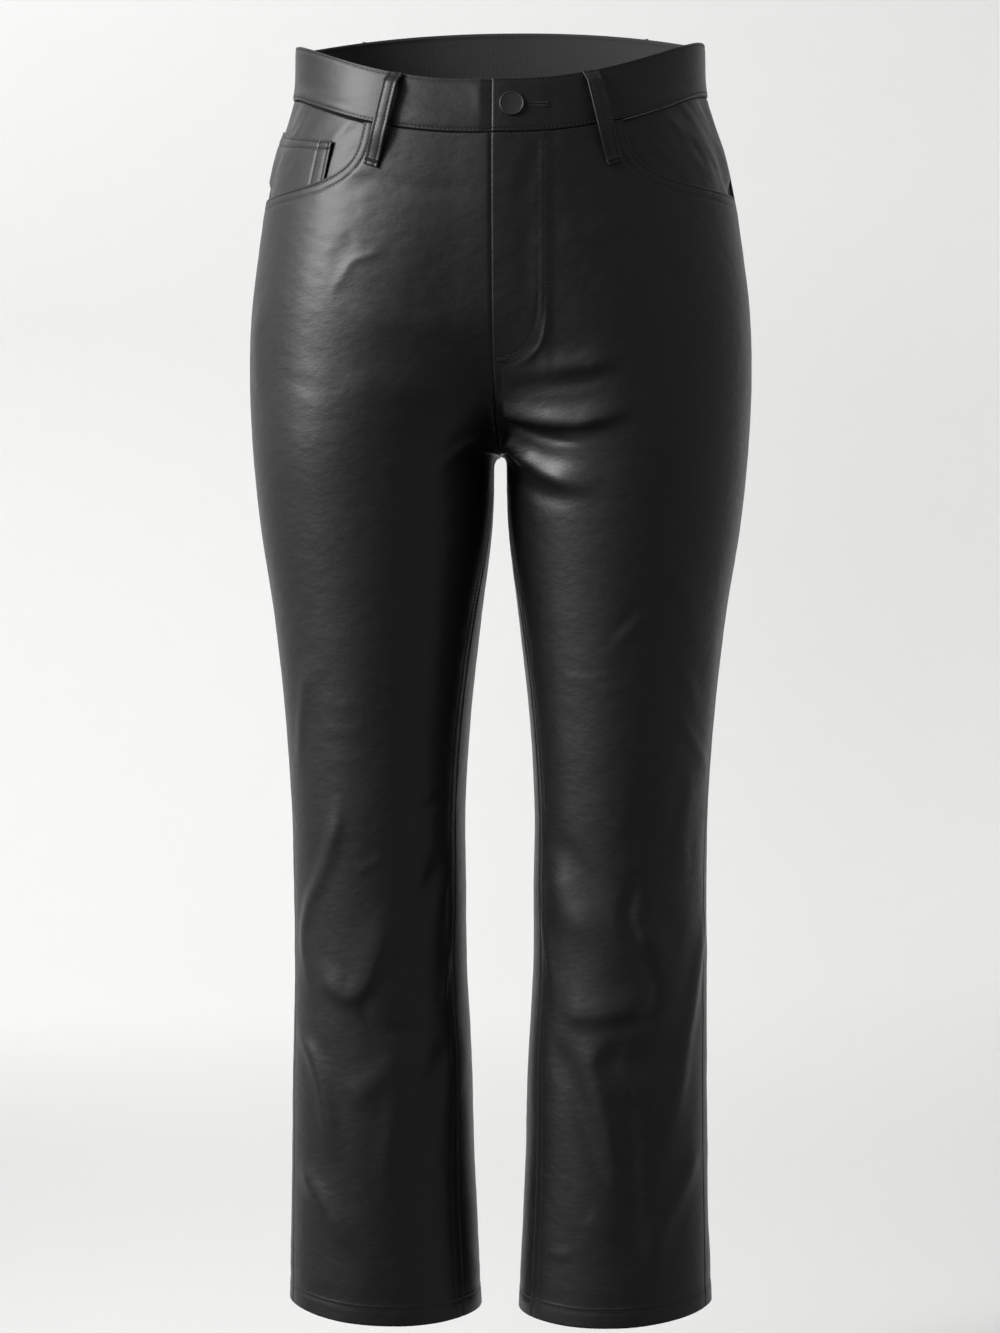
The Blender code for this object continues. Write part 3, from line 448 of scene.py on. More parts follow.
def cloth_noise(points, size, seed):
    """Smooth noise from -1 to 1: random values on a lattice of that size, blended by the eased cell place."""
    table = np.random.default_rng(seed).random((NOISE_CELLS,) * 3) * 2 - 1
    place = points / size
    cell = np.floor(place).astype(int)
    s = ease(place - cell)
    total = 0.0
    for corner in np.ndindex(2, 2, 2):
        index = tuple((cell + corner)[..., k] % NOISE_CELLS for k in range(3))
        total = total + table[index] * np.prod(np.where(corner, s, 1 - s), axis=-1)
    return total


def fold_lines():
    """Each fold as (points on the surface, width, height, lean, start, 1 in front and -1 behind)."""
    for table, behind in ((FRONT_FOLDS, False), (BACK_FOLDS, True)):
        for width, height, lean, start, knots in table:
            x, z = smooth_line(knots).T / 1000
            y = depth_at(np.abs(x), z, np.full(x.shape, behind))
            line = np.stack([x, y, z], axis=1)
            yield line, width / 1000, height / 1000, lean, start, -1 if behind else 1


def fold_lift(points):
    """How far the folds lift the cloth at each point of the surface, in metres."""
    flat = points.reshape(-1, 3)
    lift = np.zeros(len(flat))
    for line, width, height, lean, start, side in fold_lines():
        reach = FOLD_REACH * width
        near = np.flatnonzero(((flat > line.min(0) - reach) & (flat < line.max(0) + reach)).all(1))
        if not len(near):
            continue
        a, step = line[:-1], np.diff(line, axis=0)
        length = np.linalg.norm(step, axis=1)
        offset = flat[near][:, None] - a
        share = np.clip((offset * step).sum(2) / length**2, 0, 1)
        away = offset - share[..., None] * step
        distance = np.linalg.norm(away, axis=2)
        best = distance.argmin(1)
        row = np.arange(len(near))
        before = np.concatenate([[0], np.cumsum(length)])[best]
        along = (before + share[row, best] * length[best]) / length.sum()
        left = side * (step[best, 0] * away[row, best, 2] - step[best, 2] * away[row, best, 0])
        wide = width * (1 + lean * np.sign(left))
        fade = ease(along / start) * ease((1 - along) / FOLD_END_SHARE)
        lift[near] += height * np.exp(-((distance[row, best] / wide) ** 2)) * fade
    return lift.reshape(points.shape[:-1])


def waves_of(points, stretch, size, height, seed):
    """One set of waves: noise on stretched axes."""
    return cloth_noise(points * stretch + 5, size, seed) * height


def slow_lift(points):
    """The slow waves of the cloth, small at the hips, where it is stretched, and larger in the lower legs, and
    fine level crinkles all over."""
    loose = LEAST_WAVES + (1 - LEAST_WAVES) * ease((LOOSE_FROM_Z - points[..., 2]) / LOOSE_DROP)
    slow = sum(waves_of(points, *wave) for wave in WAVES)
    return slow * loose + waves_of(points, *CRINKLES)


def skin(turn, height, half, lift=0.0, waves=1.0):
    """Points of the cloth, with folds and a lift of its own along the normals, and those normals."""
    base = surface(turn, height, half)
    normals = surface_normals(turn, height, half)
    return base + normals * (fold_lift(base) + waves * slow_lift(base) + lift)[..., None], normals


print(len(FRONT_FOLDS), "folds in front and", len(BACK_FOLDS), "behind")

# %% [markdown]
# ## Materials as expressions
# A material is a graph of nodes, which is hard to read as code. Here one small class wraps a socket, and
# adding or multiplying two of them adds the node that works it out. One method adds any other kind of node.


# %% Sockets with arithmetic
class Value:
    """A number that varies over the surface: the output of a node."""

    def __init__(self, tree, socket):
        self.tree = tree
        self.socket = socket

    def math(self, operation, *terms):
        """A sum, difference or product of sockets and numbers."""
        return Value.node(self.tree, "ShaderNodeMath", {"operation": operation}, dict(enumerate(terms)))

    def __add__(self, other):
        return self.math("ADD", self, other)

    def __sub__(self, other):
        return self.math("SUBTRACT", self, other)

    def __rsub__(self, other):
        return self.math("SUBTRACT", other, self)

    def __mul__(self, other):
        return self.math("MULTIPLY", self, other)

    __radd__ = __add__
    __rmul__ = __mul__

    @staticmethod
    def node(tree, kind, settings, inputs, output=0):
        """Any node: its settings first, then the number or link of each socket, and one of its outputs."""
        made = tree.nodes.new(kind)
        for key, value in settings.items():
            setattr(made, key, value)
        for key, value in inputs.items():
            if isinstance(value, Value):
                tree.links.new(value.socket, made.inputs[key])
            else:
                made.inputs[key].default_value = value
        return Value(tree, made.outputs[output])


def ramp(value, low, high):
    """0 where the value is low and 1 where it is high, with eased ends."""
    return Value.node(value.tree, "ShaderNodeMapRange", {"interpolation_type": "SMOOTHSTEP"},
                      {"Value": value, "From Min": low, "From Max": high})


class Finish:
    """A material under construction: its shader's fixed numbers, and what varies over the surface."""

    def __init__(self, name, **fixed):
        self.material = bpy.data.materials.new(name)
        self.material.use_nodes = True
        self.tree = self.material.node_tree
        self.shader = self.tree.nodes["Principled BSDF"]
        for key, value in fixed.items():
            self.shader.inputs[key.replace("_", " ")].default_value = value
        self.place = self.node("ShaderNodeTexCoord", {}, {}, "Object")

    def node(self, kind, settings, inputs, output=0):
        """Any node of this material."""
        return Value.node(self.tree, kind, settings, inputs, output)

    def noise(self, scale, detail=2.0, place=None):
        return self.node("ShaderNodeTexNoise", {}, {"Vector": place or self.place, "Scale": scale,
                                                    "Detail": detail}, "Fac")

    def cells(self, scale):
        return self.node("ShaderNodeTexVoronoi", {}, {"Vector": self.place, "Scale": scale}, "Distance")

    def waves(self, direction, scale):
        return self.node("ShaderNodeTexWave", {"bands_direction": direction},
                         {"Vector": self.place, "Scale": scale, "Distortion": 2.0, "Detail": 1.0}, "Fac")

    def between(self, share, low, high):
        """A colour that goes from low to high as share goes from 0 to 1. Sockets 0, 6 and 7 of the colour mix
        are the share and the two colours, and output 2 is the mixed colour."""
        return self.node("ShaderNodeMix", {"data_type": "RGBA"}, {0: share, 6: (*low, 1.0), 7: (*high, 1.0)}, 2)

    def feed(self, socket, value):
        """Links a value to the shader's socket of that name."""
        self.tree.links.new(value.socket, self.shader.inputs[socket])

    def relief(self, height, strength, distance):
        """Tilts the normals as if the surface rose by height * distance."""
        self.feed("Normal", self.node("ShaderNodeBump", {}, {"Strength": strength, "Distance": distance,
                                                             "Height": height}, "Normal"))


# %% [markdown]
# ## Faux leather
# The face is a thin film of polyurethane on a knitted cloth. It is black, with a fine even grain that is
# pressed into it, and a soft sheen rather than a gloss. Small cells make the grain, noise at four scales
# makes the pores, the fine wrinkles and the uneven sheen, and a thin coat adds the sharper highlight.


# %% The finishes
def faux_leather():
    """The outer side: grain and wrinkles as relief, and a sheen and a coat that vary slowly."""
    made = Finish("faux_leather", Specular_IOR_Level=0.3, Coat_Roughness=0.27, IOR=1.5)
    grain = made.cells(1250.0)
    pores = made.noise(2600.0)
    cloudy = made.noise(9.0, 3.0)
    patchy = made.noise(75.0, 3.0)
    level = made.node("ShaderNodeMapping", {}, {"Vector": made.place, "Scale": (0.9, 0.9, 1.5)}, "Vector")
    wrinkled = made.noise(150.0, 4.0, level)
    made.relief(grain * 0.6 + pores * 0.5 + patchy * 1.2 + wrinkled * 4.6, 0.35, 0.0002)
    made.feed("Roughness", cloudy * 0.10 + patchy * 0.06 + wrinkled * 0.10 + grain * 0.04 + 0.33)
    made.feed("Coat Weight", cloudy * 0.14 + wrinkled * 0.10 + 0.02)
    made.feed("Base Color", made.between(patchy * 0.5 + grain * 0.5, (0.0040, 0.0038, 0.0037),
                                         (0.0085, 0.0081, 0.0079)))
    return made.material


def knitted_back():
    """The inner side: a brushed jersey, with small rows of loops."""
    made = Finish("knitted_back", Specular_IOR_Level=0.25)
    rows, wales = made.waves("Z", 330.0), made.waves("X", 300.0)
    fuzz = made.noise(900.0)
    made.relief(rows * 0.5 + wales * 0.5 + fuzz * 0.7, 0.5, 0.0003)
    made.feed("Base Color", made.between(fuzz * 0.6 + rows * 0.4, (0.016, 0.016, 0.0165),
                                         (0.042, 0.041, 0.042)))
    made.feed("Roughness", fuzz * 0.1 + 0.82)
    return made.material


def sewing_thread():
    """Black thread with fibres."""
    made = Finish("sewing_thread", Specular_IOR_Level=0.35)
    fibre = made.noise(4200.0)
    made.feed("Base Color", made.between(fibre, (0.0035, 0.0035, 0.0035), (0.010, 0.010, 0.010)))
    made.feed("Roughness", fibre * 0.15 + 0.52)
    made.relief(fibre, 0.4, 0.0001)
    return made.material


def painted_metal():
    """Matte black paint, a little rubbed."""
    made = Finish("painted_metal", Metallic=0.0, Specular_IOR_Level=0.32)
    grit = made.noise(1500.0)
    rubbed = made.noise(140.0, 4.0)
    made.feed("Base Color", made.between(rubbed * 0.7 + grit * 0.3, (0.009, 0.009, 0.009),
                                         (0.018, 0.018, 0.018)))
    made.feed("Roughness", rubbed * 0.12 + grit * 0.06 + 0.36)
    made.relief(grit * 0.6 + rubbed * 0.4, 0.12, 0.0001)
    return made.material


LEATHER = faux_leather()
BACKING = knitted_back()
THREAD = sewing_thread()
PAINT = painted_metal()
CLOTH = (LEATHER, BACKING)

# %% [markdown]
# ## Edges, seams and grooves
# What tells leather from a smooth shell is its edges. A cut edge is folded in and rounded, a seam is a
# valley where two panels turn in, and a row of stitches pulls the cloth into a shallow groove. Each of these
# is a profile across the edge, as a function of the distance from it, and the grids have close lines there.


# %% Profiles across an edge
MM = 0.001
EDGE_LINES = np.array([0, 0.15, 0.45, 0.9, 1.5, 2.2, 2.9, 3.8, 5.2, 6.8, 7.7, 8.4, 9.1, 10.4, 12.4]) * MM
STITCH_IN = 2.2 * MM  # the first row of stitches from an edge
STITCH_TWIN = 8.4 * MM  # the second row, where there is one
FLY_SEAM_ROW = 6.4 * MM  # the row beside the seam below the fly
GROOVE_DEPTH = 0.48 * MM
INSEAM_GROOVE = 0.2 * MM
J_GROOVE = 0.34 * MM
THREAD_LIFT = -0.43 * MM  # where the thread lies, from the face beside its groove
J_THREAD_LIFT = -0.29 * MM
COIN_THREAD_LIFT = -0.38 * MM
HEM_THREAD_LIFT = -0.40 * MM
THREAD_RADIUS = 0.30 * MM
FINE_RADIUS = 0.20 * MM
TUCK_SHARE = 0.42


def arc_drop(distance, radius):
    """A quarter circle's fall towards an edge: 1 at the edge and 0 from the radius inwards."""
    share = np.clip(distance / radius, 0, 1)
    return 1 - np.sqrt(np.clip(1 - (1 - share) ** 2, 0, 1))


def round_edge(free, thick, radius):
    """How far each side of a wall turns in towards a free edge, so that the edge is round."""
    return TUCK_SHARE * thick * arc_drop(free, radius)


def groove(distance, at, depth=GROOVE_DEPTH, half_width=0.85 * MM):
    """A row of stitches draws the cloth in by depth * exp(-((distance - at) / half_width)^2)."""
    return -depth * np.exp(-(((distance - at) / half_width) ** 2))


def seam_valley(distance, depth=1.1 * MM, radius=2.0 * MM):
    """A seam turns the cloth in towards it."""
    return -depth * arc_drop(distance, radius)


def path_length(points):
    """The length run at each point of a path."""
    return np.concatenate([[0.0], np.cumsum(np.linalg.norm(np.diff(points, axis=0), axis=1))])


# %% [markdown]
# ## Stitches
# A lockstitch shows as short dashes, each a piece of thread that rises from one hole and dives into the
# next. One dash is a small tube of six sides, thinner and lower at its ends. All the dashes of one piece are
# made in one go: the template is placed at every step along the seam by its own three axes.


# %% Stitches
SIDES = (("right", -1), ("left", 1))  # the wearer's, with the sign of x
PIECES = []
DASH_SIDES = 6
DASH_RINGS = np.array([(-0.5, 0.0, -0.9), (-0.24, 0.95, 0.12), (0.24, 0.95, 0.12),
                       (0.5, 0.0, -0.9)])  # along, thickness and rise of each ring
DASH_END = 0.25  # the least thickness
DASH_START_CAP = np.array([(0, 3, 2, 1), (0, 5, 4, 3)])
DASH_END_CAP = np.array([(0, 1, 2, 3), (0, 3, 4, 5)])
BAR_STEP = 0.42 * MM


def at_lengths(at, length, table):
    """Rows of a table of x, y and z at some lengths along a path."""
    return np.stack([np.interp(at, length, table[:, k]) for k in range(3)], axis=1)


def dashes(path, normals, pitch=2.9 * MM, share=0.76, radius=THREAD_RADIUS):
    """Points and squares of the dashes along a path, whose normals point away from the cloth."""
    length = path_length(path)
    count = max(2, int(round(length[-1] / pitch)))
    at = (np.arange(count) + 0.5) / count * length[-1]
    centre = at_lengths(at, length, path)
    along = unit(at_lengths(at + pitch / 3, length, path) - at_lengths(at - pitch / 3, length, path))
    up = unit(at_lengths(at, length, normals))
    up = unit(up - (up * along).sum(1, keepdims=True) * along)
    across = np.cross(along, up)
    angle = np.arange(DASH_SIDES) / DASH_SIDES * 2 * np.pi
    t, thick, rise = (DASH_RINGS[:, k][:, None] for k in range(3))
    thick = np.maximum(thick, DASH_END)
    u = np.broadcast_to(t * pitch * share, (len(DASH_RINGS), DASH_SIDES)).ravel()
    v = (thick * radius * np.cos(angle)).ravel()
    w = (thick * radius * np.sin(angle) + rise * radius).ravel()
    points = (centre[:, None] + along[:, None] * u[:, None] + across[:, None] * v[:, None]
              + up[:, None] * w[:, None])
    ring = np.arange(DASH_SIDES)
    on = (ring + 1) % DASH_SIDES
    band = np.stack([ring, on, on + DASH_SIDES, ring + DASH_SIDES], axis=1)
    last = len(DASH_RINGS) - 1
    quads = np.concatenate([*(band + r * DASH_SIDES for r in range(last)), DASH_START_CAP,
                            DASH_END_CAP + last * DASH_SIDES])
    first = np.arange(count)[:, None, None] * len(DASH_RINGS) * DASH_SIDES
    return points.reshape(-1, 3), (quads + first).reshape(-1, 4)


def thread_piece(name, lines, **options):
    """One object that holds the dashes of several seams."""
    points, faces, base = [], [], 0
    for path, normals in lines:
        p, f = dashes(path, normals, **options)
        points.append(p)
        faces.append(f + base)
        base += len(p)
    made = mesh_object(name, np.concatenate(points), np.concatenate(faces), None, (THREAD,), 180.0)
    PIECES.append(made)


def bartack(path, normals, width):
    """A bar of close zigzag: each dash lies across the path."""
    length = path_length(path)
    at = np.linspace(0, length[-1], int(length[-1] / BAR_STEP))
    centre, up = at_lengths(at, length, path), unit(at_lengths(at, length, normals))
    side = unit(np.cross(np.gradient(centre, axis=0), up)) * width / 2
    return [(np.array([c - s, c, c + s]), np.array([n, n, n])) for c, s, n in zip(centre, side, up)]


def bar_piece(name, bars, width):
    """One object that holds bars whose dashes are nearly as long as the bars are wide."""
    thread_piece(name, bars, pitch=width, share=0.95, radius=FINE_RADIUS)


# %% [markdown]
# ## Leg panels
# A front panel is one cut from the waist seam to the hem, with the pocket's curve taken out of its upper
# corner. Its rows run from the outer edge to the inner edge. Along each row, the grid's lines lie at set
# distances from both edges and evenly between, so the seam profiles stay the same width all the way down.

# %% Sizes of the panels and pockets
PANEL_WALL = 1.5 * MM
FOLDED_EDGE = 2.3 * MM
FOLDED_BACK = (0.010, 0.002)  # how far the pocket's edge is folded back, and over what it thins out
HEM_WALL = 2.8 * MM
HEM_DEPTH = 15 * MM
HEM_STITCH = 13.4 * MM
SCOOP_TURN = 57.0
SCOOP_Z = -0.1215
SCOOP_ROUNDNESS = 4.6
FLY_END_Z = -0.264
FLY_WIDTH = 0.038
FLY_FADE = 0.010
FLY_FLAP_OUT = 1.0 * MM
FLY_EDGE_IN = 0.8 * MM
FLY_UNDERLAP = 0.012
ROWS_DOWN_RISE = 132
SCOOP_SHARE = 0.6
RISE_KNOTS = (0, 0.0015, 0.004, 0.008, 0.012, 0.018, 0.58, 0.60, 0.6015, 0.604, 0.608, 0.613, 0.619, 0.627,
              0.636, 0.645, 0.655, 0.665, 0.98, 1.0)
LEAST_RISE_STEP = 0.0012
LEG_KNOTS = (0.0004, 0.0012)  # metres below the crotch
HEM_LINES = np.array([0, 0.15, 0.45, 0.9, 1.5, 2.4, 4, 6, 8, 10, 12, 12.7, 13.4, 14.1, 14.8, 15.4, 16.2,
                      17.5]) * MM
HEM_STEP = 0.35 * MM
HEM_STEP_EASE = 1.2 * MM
HEM_RETURN = (0.004, 0.010)  # where the step begins to ease out above the fold, and over what height
HEM_REACH = 0.03
HEM_FOLD_EDGE = 0.0006
EDGE_ROUND = 1.25 * MM
LEG_STEP = 3.0 * MM
ACROSS_STEP = 3.7 * MM
ACROSS_STEP_BACK = 5.2 * MM
SCOOP_SAMPLES = 900
CENTRE_SAMPLES = 800
ROW_SAMPLES = 90


def scoop_edge(share):
    """The pocket's curved edge as (turn, height): a quarter of a superellipse, even in length."""
    angle = np.radians(np.linspace(0, 90, SCOOP_SAMPLES))
    top = waist_seam(SCOOP_TURN)
    turn = SCOOP_TURN * np.cos(angle).clip(0) ** (2 / SCOOP_ROUNDNESS)
    height = top + (SCOOP_Z - top) * np.sin(angle) ** (2 / SCOOP_ROUNDNESS)
    length = path_length(surface(turn, height, 1))
    at = np.asarray(share) * length[-1]
    return np.interp(at, length, turn), np.interp(at, length, height)


def rise_rows():
    """Places of the rows from 0 at the waist seam to 1 at the crotch, close under the waist seam, below the
    pocket's curve and round the end of the fly."""
    even = np.arange(0, 1, 1 / ROWS_DOWN_RISE)
    rows = np.unique(np.round(np.concatenate([even, RISE_KNOTS]), 5))
    keep = np.concatenate([[True], np.diff(rows) > LEAST_RISE_STEP])
    return rows[keep | (rows == 1.0)]


def leg_rows():
    """Heights below the crotch, with close rows at the hem's edge, its stitches and its upper fold."""
    even = np.linspace(CROTCH_Z, HEM_Z + HEM_LINES[-1], int((CROTCH_Z - HEM_Z) / LEG_STEP))[1:-1]
    return np.concatenate([CROTCH_Z - np.array(LEG_KNOTS), even[even < CROTCH_Z - 0.002],
                           HEM_Z + HEM_LINES[::-1]])


def centre_heights(rise, behind):
    """Heights of the rows at the centre seam, even in length along it."""
    sign = -1 if behind else 1
    share = np.linspace(0, 1, CENTRE_SAMPLES)
    spread = CROTCH_Z + share**2 * (waist_seam(sign * 90.0) - CROTCH_Z)
    length = path_length(surface(sign * inner_turn(spread, behind), spread, 1))
    return np.interp((1 - rise) * length[-1], length, spread)


def spread_across(turn_ends, height_ends, half, inner_lines, rise, legs, across):
    """Turns and heights of a panel's grid, and the distances from its outer and its inner edge. Each row is
    measured, and its lines are put at set distances from both edges, with even steps of about across between.
    The first rows bend to the waist seam and the last ones to the hem."""
    samples = np.linspace(0, 1, ROW_SAMPLES)[None, :]
    to_waist = np.concatenate([(1 - rise) ** 3, np.zeros(len(legs))])[:, None]
    to_hem = np.concatenate([np.zeros(len(rise)), np.linspace(0, 1, len(legs) + 1)[1:] ** 3])[:, None]

    def place(share):
        turn = turn_ends[0][:, None] + (turn_ends[1] - turn_ends[0])[:, None] * share
        turn = np.where(turn < -180, turn + 360, turn)
        height = height_ends[0][:, None] + (height_ends[1] - height_ends[0])[:, None] * ease(share)
        height = height + (waist_seam(turn[:1]) - height[:1]) * to_waist
        return turn, height + (hem_height(turn[-1:]) - height[-1:]) * to_hem

    points = surface(*place(samples), half)
    step = np.linalg.norm(np.diff(points, axis=1), axis=2)
    length = np.concatenate([np.zeros((len(step), 1)), np.cumsum(step, axis=1)], axis=1)
    total = length[:, -1:]
    start, end = EDGE_LINES[-1], total - inner_lines[-1]
    count = int(np.ceil((end.max() - start) / across))
    middle = start + (end - start) * np.linspace(0, 1, count + 1)[1:-1]
    wanted = np.concatenate([np.broadcast_to(EDGE_LINES, (len(total), len(EDGE_LINES))), middle,
                             total - inner_lines[::-1]], axis=1)
    turn, height = place(np.stack([np.interp(w, l, samples[0]) for w, l in zip(wanted, length)]))
    return turn, height, wanted, total - wanted


def hem_lift(hem):
    """The hem's row of stitches, and the step down at its upper fold, which eases out again above it."""
    above = hem - HEM_DEPTH
    step = ease(above / HEM_STEP_EASE) - ease((above - HEM_RETURN[0]) / HEM_RETURN[1])
    return groove(hem, HEM_STITCH) - HEM_STEP * step * (hem < HEM_REACH)


def wall_at_hem(hem, wall):
    """The turned-up hem is thicker than the panel."""
    return np.where(hem < HEM_DEPTH + HEM_FOLD_EDGE, HEM_WALL, wall)


def make_panels(make, name):
    """Makes a panel on each side, and returns what the rows of stitches need of them."""
    grids = {side: make(side, half) for side, half in SIDES}
    for side, grid in grids.items():
        PIECES.append(grid[0])
        print(name, side, len(grid[0].data.polygons), "faces")
    return grids


def distance_to(points, line):
    """Distance from each point to the nearest point of a closely spaced line."""
    tree = KDTree(len(line))
    for index, place in enumerate(line):
        tree.insert(place, index)
    tree.balance()
    return np.array([tree.find(p)[2] for p in points.reshape(-1, 3)]).reshape(points.shape[:-1])


# %% [markdown]
# ## Front panels
# The left front laps over the right one as the fly's flap, which stands a little out, and the right front
# runs on under it. The pocket's edge is folded in, so it is thicker there and round, and it has two rows of
# stitches. The fly's J and the seam below it are stitched on the left front.

# %% Front panels
FLY_J_IN = ((35.0, -94), (35.0, -160), (35.0, -205), (34.2, -222), (31.0, -236), (25.0, -246), (17.0, -251.2),
            (9.0, -252.6))
FLY_J_OUT = ((39.9, -94), (39.9, -160), (39.9, -206), (38.8, -227), (35.2, -242.0), (28.0, -252.5),
             (18.5, -257.8), (8.5, -259.6))
FLAP_LINES = np.array([15.5, 19, 23, 27, 31, 33.6, 34.3, 35, 35.7, 36.4, 38.2, 39.2, 39.9, 40.6, 41.4, 42.4,
                       43.6, 45.4]) * MM
FLAP_EASE = 0.010
FLAP_UNDER_EASE = 0.0035
UNDERLAP_COLUMNS = 6


def fly_line(knots):
    """A line of the fly as (turn, height) on the left front, from x and z in millimetres."""
    x, z = smooth_line(knots, 10).T / 1000
    return turn_at(x, z), z


def flap_lift(x, height, half):
    """How far the flap stands out on the left, and how far the edge under it lies in on the right."""
    beside = (height > CROTCH_Z) * ease((height - FLY_END_Z) / FLY_FADE + 1)
    if half > 0:
        return FLY_FLAP_OUT * beside * (1 - ease((x - FLY_WIDTH) / FLAP_EASE))
    return -FLY_EDGE_IN * beside * (1 - ease(x / FLAP_UNDER_EASE))


def front_panel(side, half):
    """Makes a front panel. Returns it, its turns and heights, distances from its inner edge, and lifts."""
    rise, legs = rise_rows(), leg_rows()
    in_scoop = rise <= SCOOP_SHARE
    scoop_turn, scoop_z = scoop_edge(rise[in_scoop] / SCOOP_SHARE)
    side_z = SCOOP_Z + (CROTCH_Z - SCOOP_Z) * (rise[~in_scoop] - SCOOP_SHARE) / (1 - SCOOP_SHARE)
    down = np.concatenate([side_z, legs])
    outer_turn = np.concatenate([scoop_turn, column("side_seam", down)])
    outer_z = np.concatenate([scoop_z, down])
    inner_z = np.concatenate([centre_heights(rise, False), legs])
    inner_lines = np.concatenate([EDGE_LINES, FLAP_LINES]) if half > 0 else EDGE_LINES
    turn, height, from_outer, from_inner = spread_across(
        (outer_turn, inner_turn(inner_z, False)), (outer_z, inner_z), half, inner_lines, rise, legs,
        ACROSS_STEP)
    base = surface(turn, height, half)
    from_scoop = distance_to(base, surface(*scoop_edge(np.linspace(0, 1, 400)), half))
    on_side = np.arange(len(turn))[:, None] >= in_scoop.sum()
    above = height > CROTCH_Z
    in_fly = above & (height > FLY_END_Z)
    hem = height - hem_height(turn)
    lift = flap_lift(base[..., 0] * half, height, half)
    lift += groove(from_scoop, STITCH_IN) + groove(from_scoop, STITCH_TWIN)
    lift += seam_valley(waist_seam(turn) - height) + hem_lift(hem)
    lift += np.where(on_side, seam_valley(from_outer), 0.0) + np.where(in_fly, 0.0, seam_valley(from_inner))
    for row in (STITCH_IN, STITCH_TWIN):
        lift += np.where(above, 0.0, groove(from_inner, row, INSEAM_GROOVE))
    if half > 0:
        lift += np.where(above & ~in_fly, groove(from_inner, FLY_SEAM_ROW), 0.0)
        for knots in (FLY_J_IN, FLY_J_OUT):
            lift += groove(distance_to(base, surface(*fly_line(knots), half)), 0.0, J_GROOVE)
    folded = 1 - ease((from_scoop - FOLDED_BACK[0]) / FOLDED_BACK[1])
    thick = wall_at_hem(hem, PANEL_WALL + (FOLDED_EDGE - PANEL_WALL) * folded)
    free = np.minimum(from_scoop, hem)
    if half > 0:
        free = np.where(in_fly, np.minimum(free, from_inner), free)
    tuck = round_edge(free, thick, EDGE_ROUND)
    points, normals = skin(turn, height, half, lift - tuck)
    wall, cells = thick - 2 * tuck, None
    if half < 0:
        edge_z = np.maximum(height[:, -1:], FLY_END_Z)
        under = np.linspace(0.1, 1, UNDERLAP_COLUMNS)[None, :] * FLY_UNDERLAP
        under_turn = 2 * inner_turn(edge_z, False) - turn_at(under, edge_z)
        more = skin(under_turn, edge_z, half, -FLY_EDGE_IN)
        points, normals, wall = (
            np.concatenate(pair, axis=1)
            for pair in ((points, more[0]), (normals, more[1]), (wall, np.full(under_turn.shape, PANEL_WALL))))
        cells = np.ones((len(turn) - 1, points.shape[1] - 1), bool)
        cells[:, -UNDERLAP_COLUMNS:] = height[1:, -1:] >= FLY_END_Z - 1e-6
    made = shell(f"front_{side}_cloth", points, normals, wall, CLOTH, cells)
    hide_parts(f"front_{side}")
    return made, turn, height, from_inner, lift


front_grids = make_panels(front_panel, "front")

# %% [markdown]
# ## Back panels
# The back panels meet at the centre-back seam. One dart on each side takes in the waist over the seat, and
# shows as a short valley. The rest is made as the front is.

# %% Back panels
DART_IN = 0.060
DART_LENGTH = 0.085
DART_LINES = DART_IN + np.array([-4, -2.4, -1.2, -0.5, 0, 0.5, 1.2, 2.4, 4]) * MM
DART_FOLDS = ((-1.1 * MM, 1.3 * MM), (0.8 * MM, 7 * MM))  # height and width of the valley and its shoulders
BACK_LINES = np.concatenate([EDGE_LINES, np.arange(16, 54, 4) * MM, DART_LINES])


def back_panel(side, half):
    """Makes a back panel, and returns what front_panel returns."""
    rise, legs = rise_rows(), leg_rows()
    top = waist_seam(0.0)
    beside = top + (SCOOP_Z - top) * rise / SCOOP_SHARE
    below = SCOOP_Z + (CROTCH_Z - SCOOP_Z) * (rise - SCOOP_SHARE) / (1 - SCOOP_SHARE)
    outer_z = np.concatenate([np.where(rise <= SCOOP_SHARE, beside, below), legs])
    inner_z = np.concatenate([centre_heights(rise, True), legs])
    inner = np.where(inner_z >= CROTCH_Z, -inner_turn(inner_z, True), column("inseam", inner_z) - 360)
    turn, height, from_outer, from_inner = spread_across(
        (column("side_seam", outer_z), inner), (outer_z, inner_z), half, BACK_LINES, rise, legs,
        ACROSS_STEP_BACK)
    hem = height - hem_height(turn)
    under_band = waist_seam(turn) - height
    lift = seam_valley(under_band) + seam_valley(from_outer) + seam_valley(from_inner) + hem_lift(hem)
    for row in (STITCH_IN, STITCH_TWIN):
        lift += np.where(height > CROTCH_Z, groove(from_inner, row), 0.0)
    for size, width in DART_FOLDS:
        lift += size * ease(1 - under_band / DART_LENGTH) * np.exp(-(((from_inner - DART_IN) / width) ** 2))
    thick = wall_at_hem(hem, PANEL_WALL)
    tuck = round_edge(hem, thick, EDGE_ROUND)
    points, normals = skin(turn, height, half, lift - tuck)
    made = shell(f"back_{side}_cloth", points, normals, thick - 2 * tuck, CLOTH)
    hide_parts(f"back_{side}")
    return made, turn, height, from_inner, lift


back_grids = make_panels(back_panel, "back")

# %% [markdown]
# ## Pocket facings and the coin pocket
# Inside each pocket's curve lies a facing, which is sewn into the waist and side seams. On the wearer's
# right it carries a small coin pocket with two rows of stitches along its mouth and its inner edge.

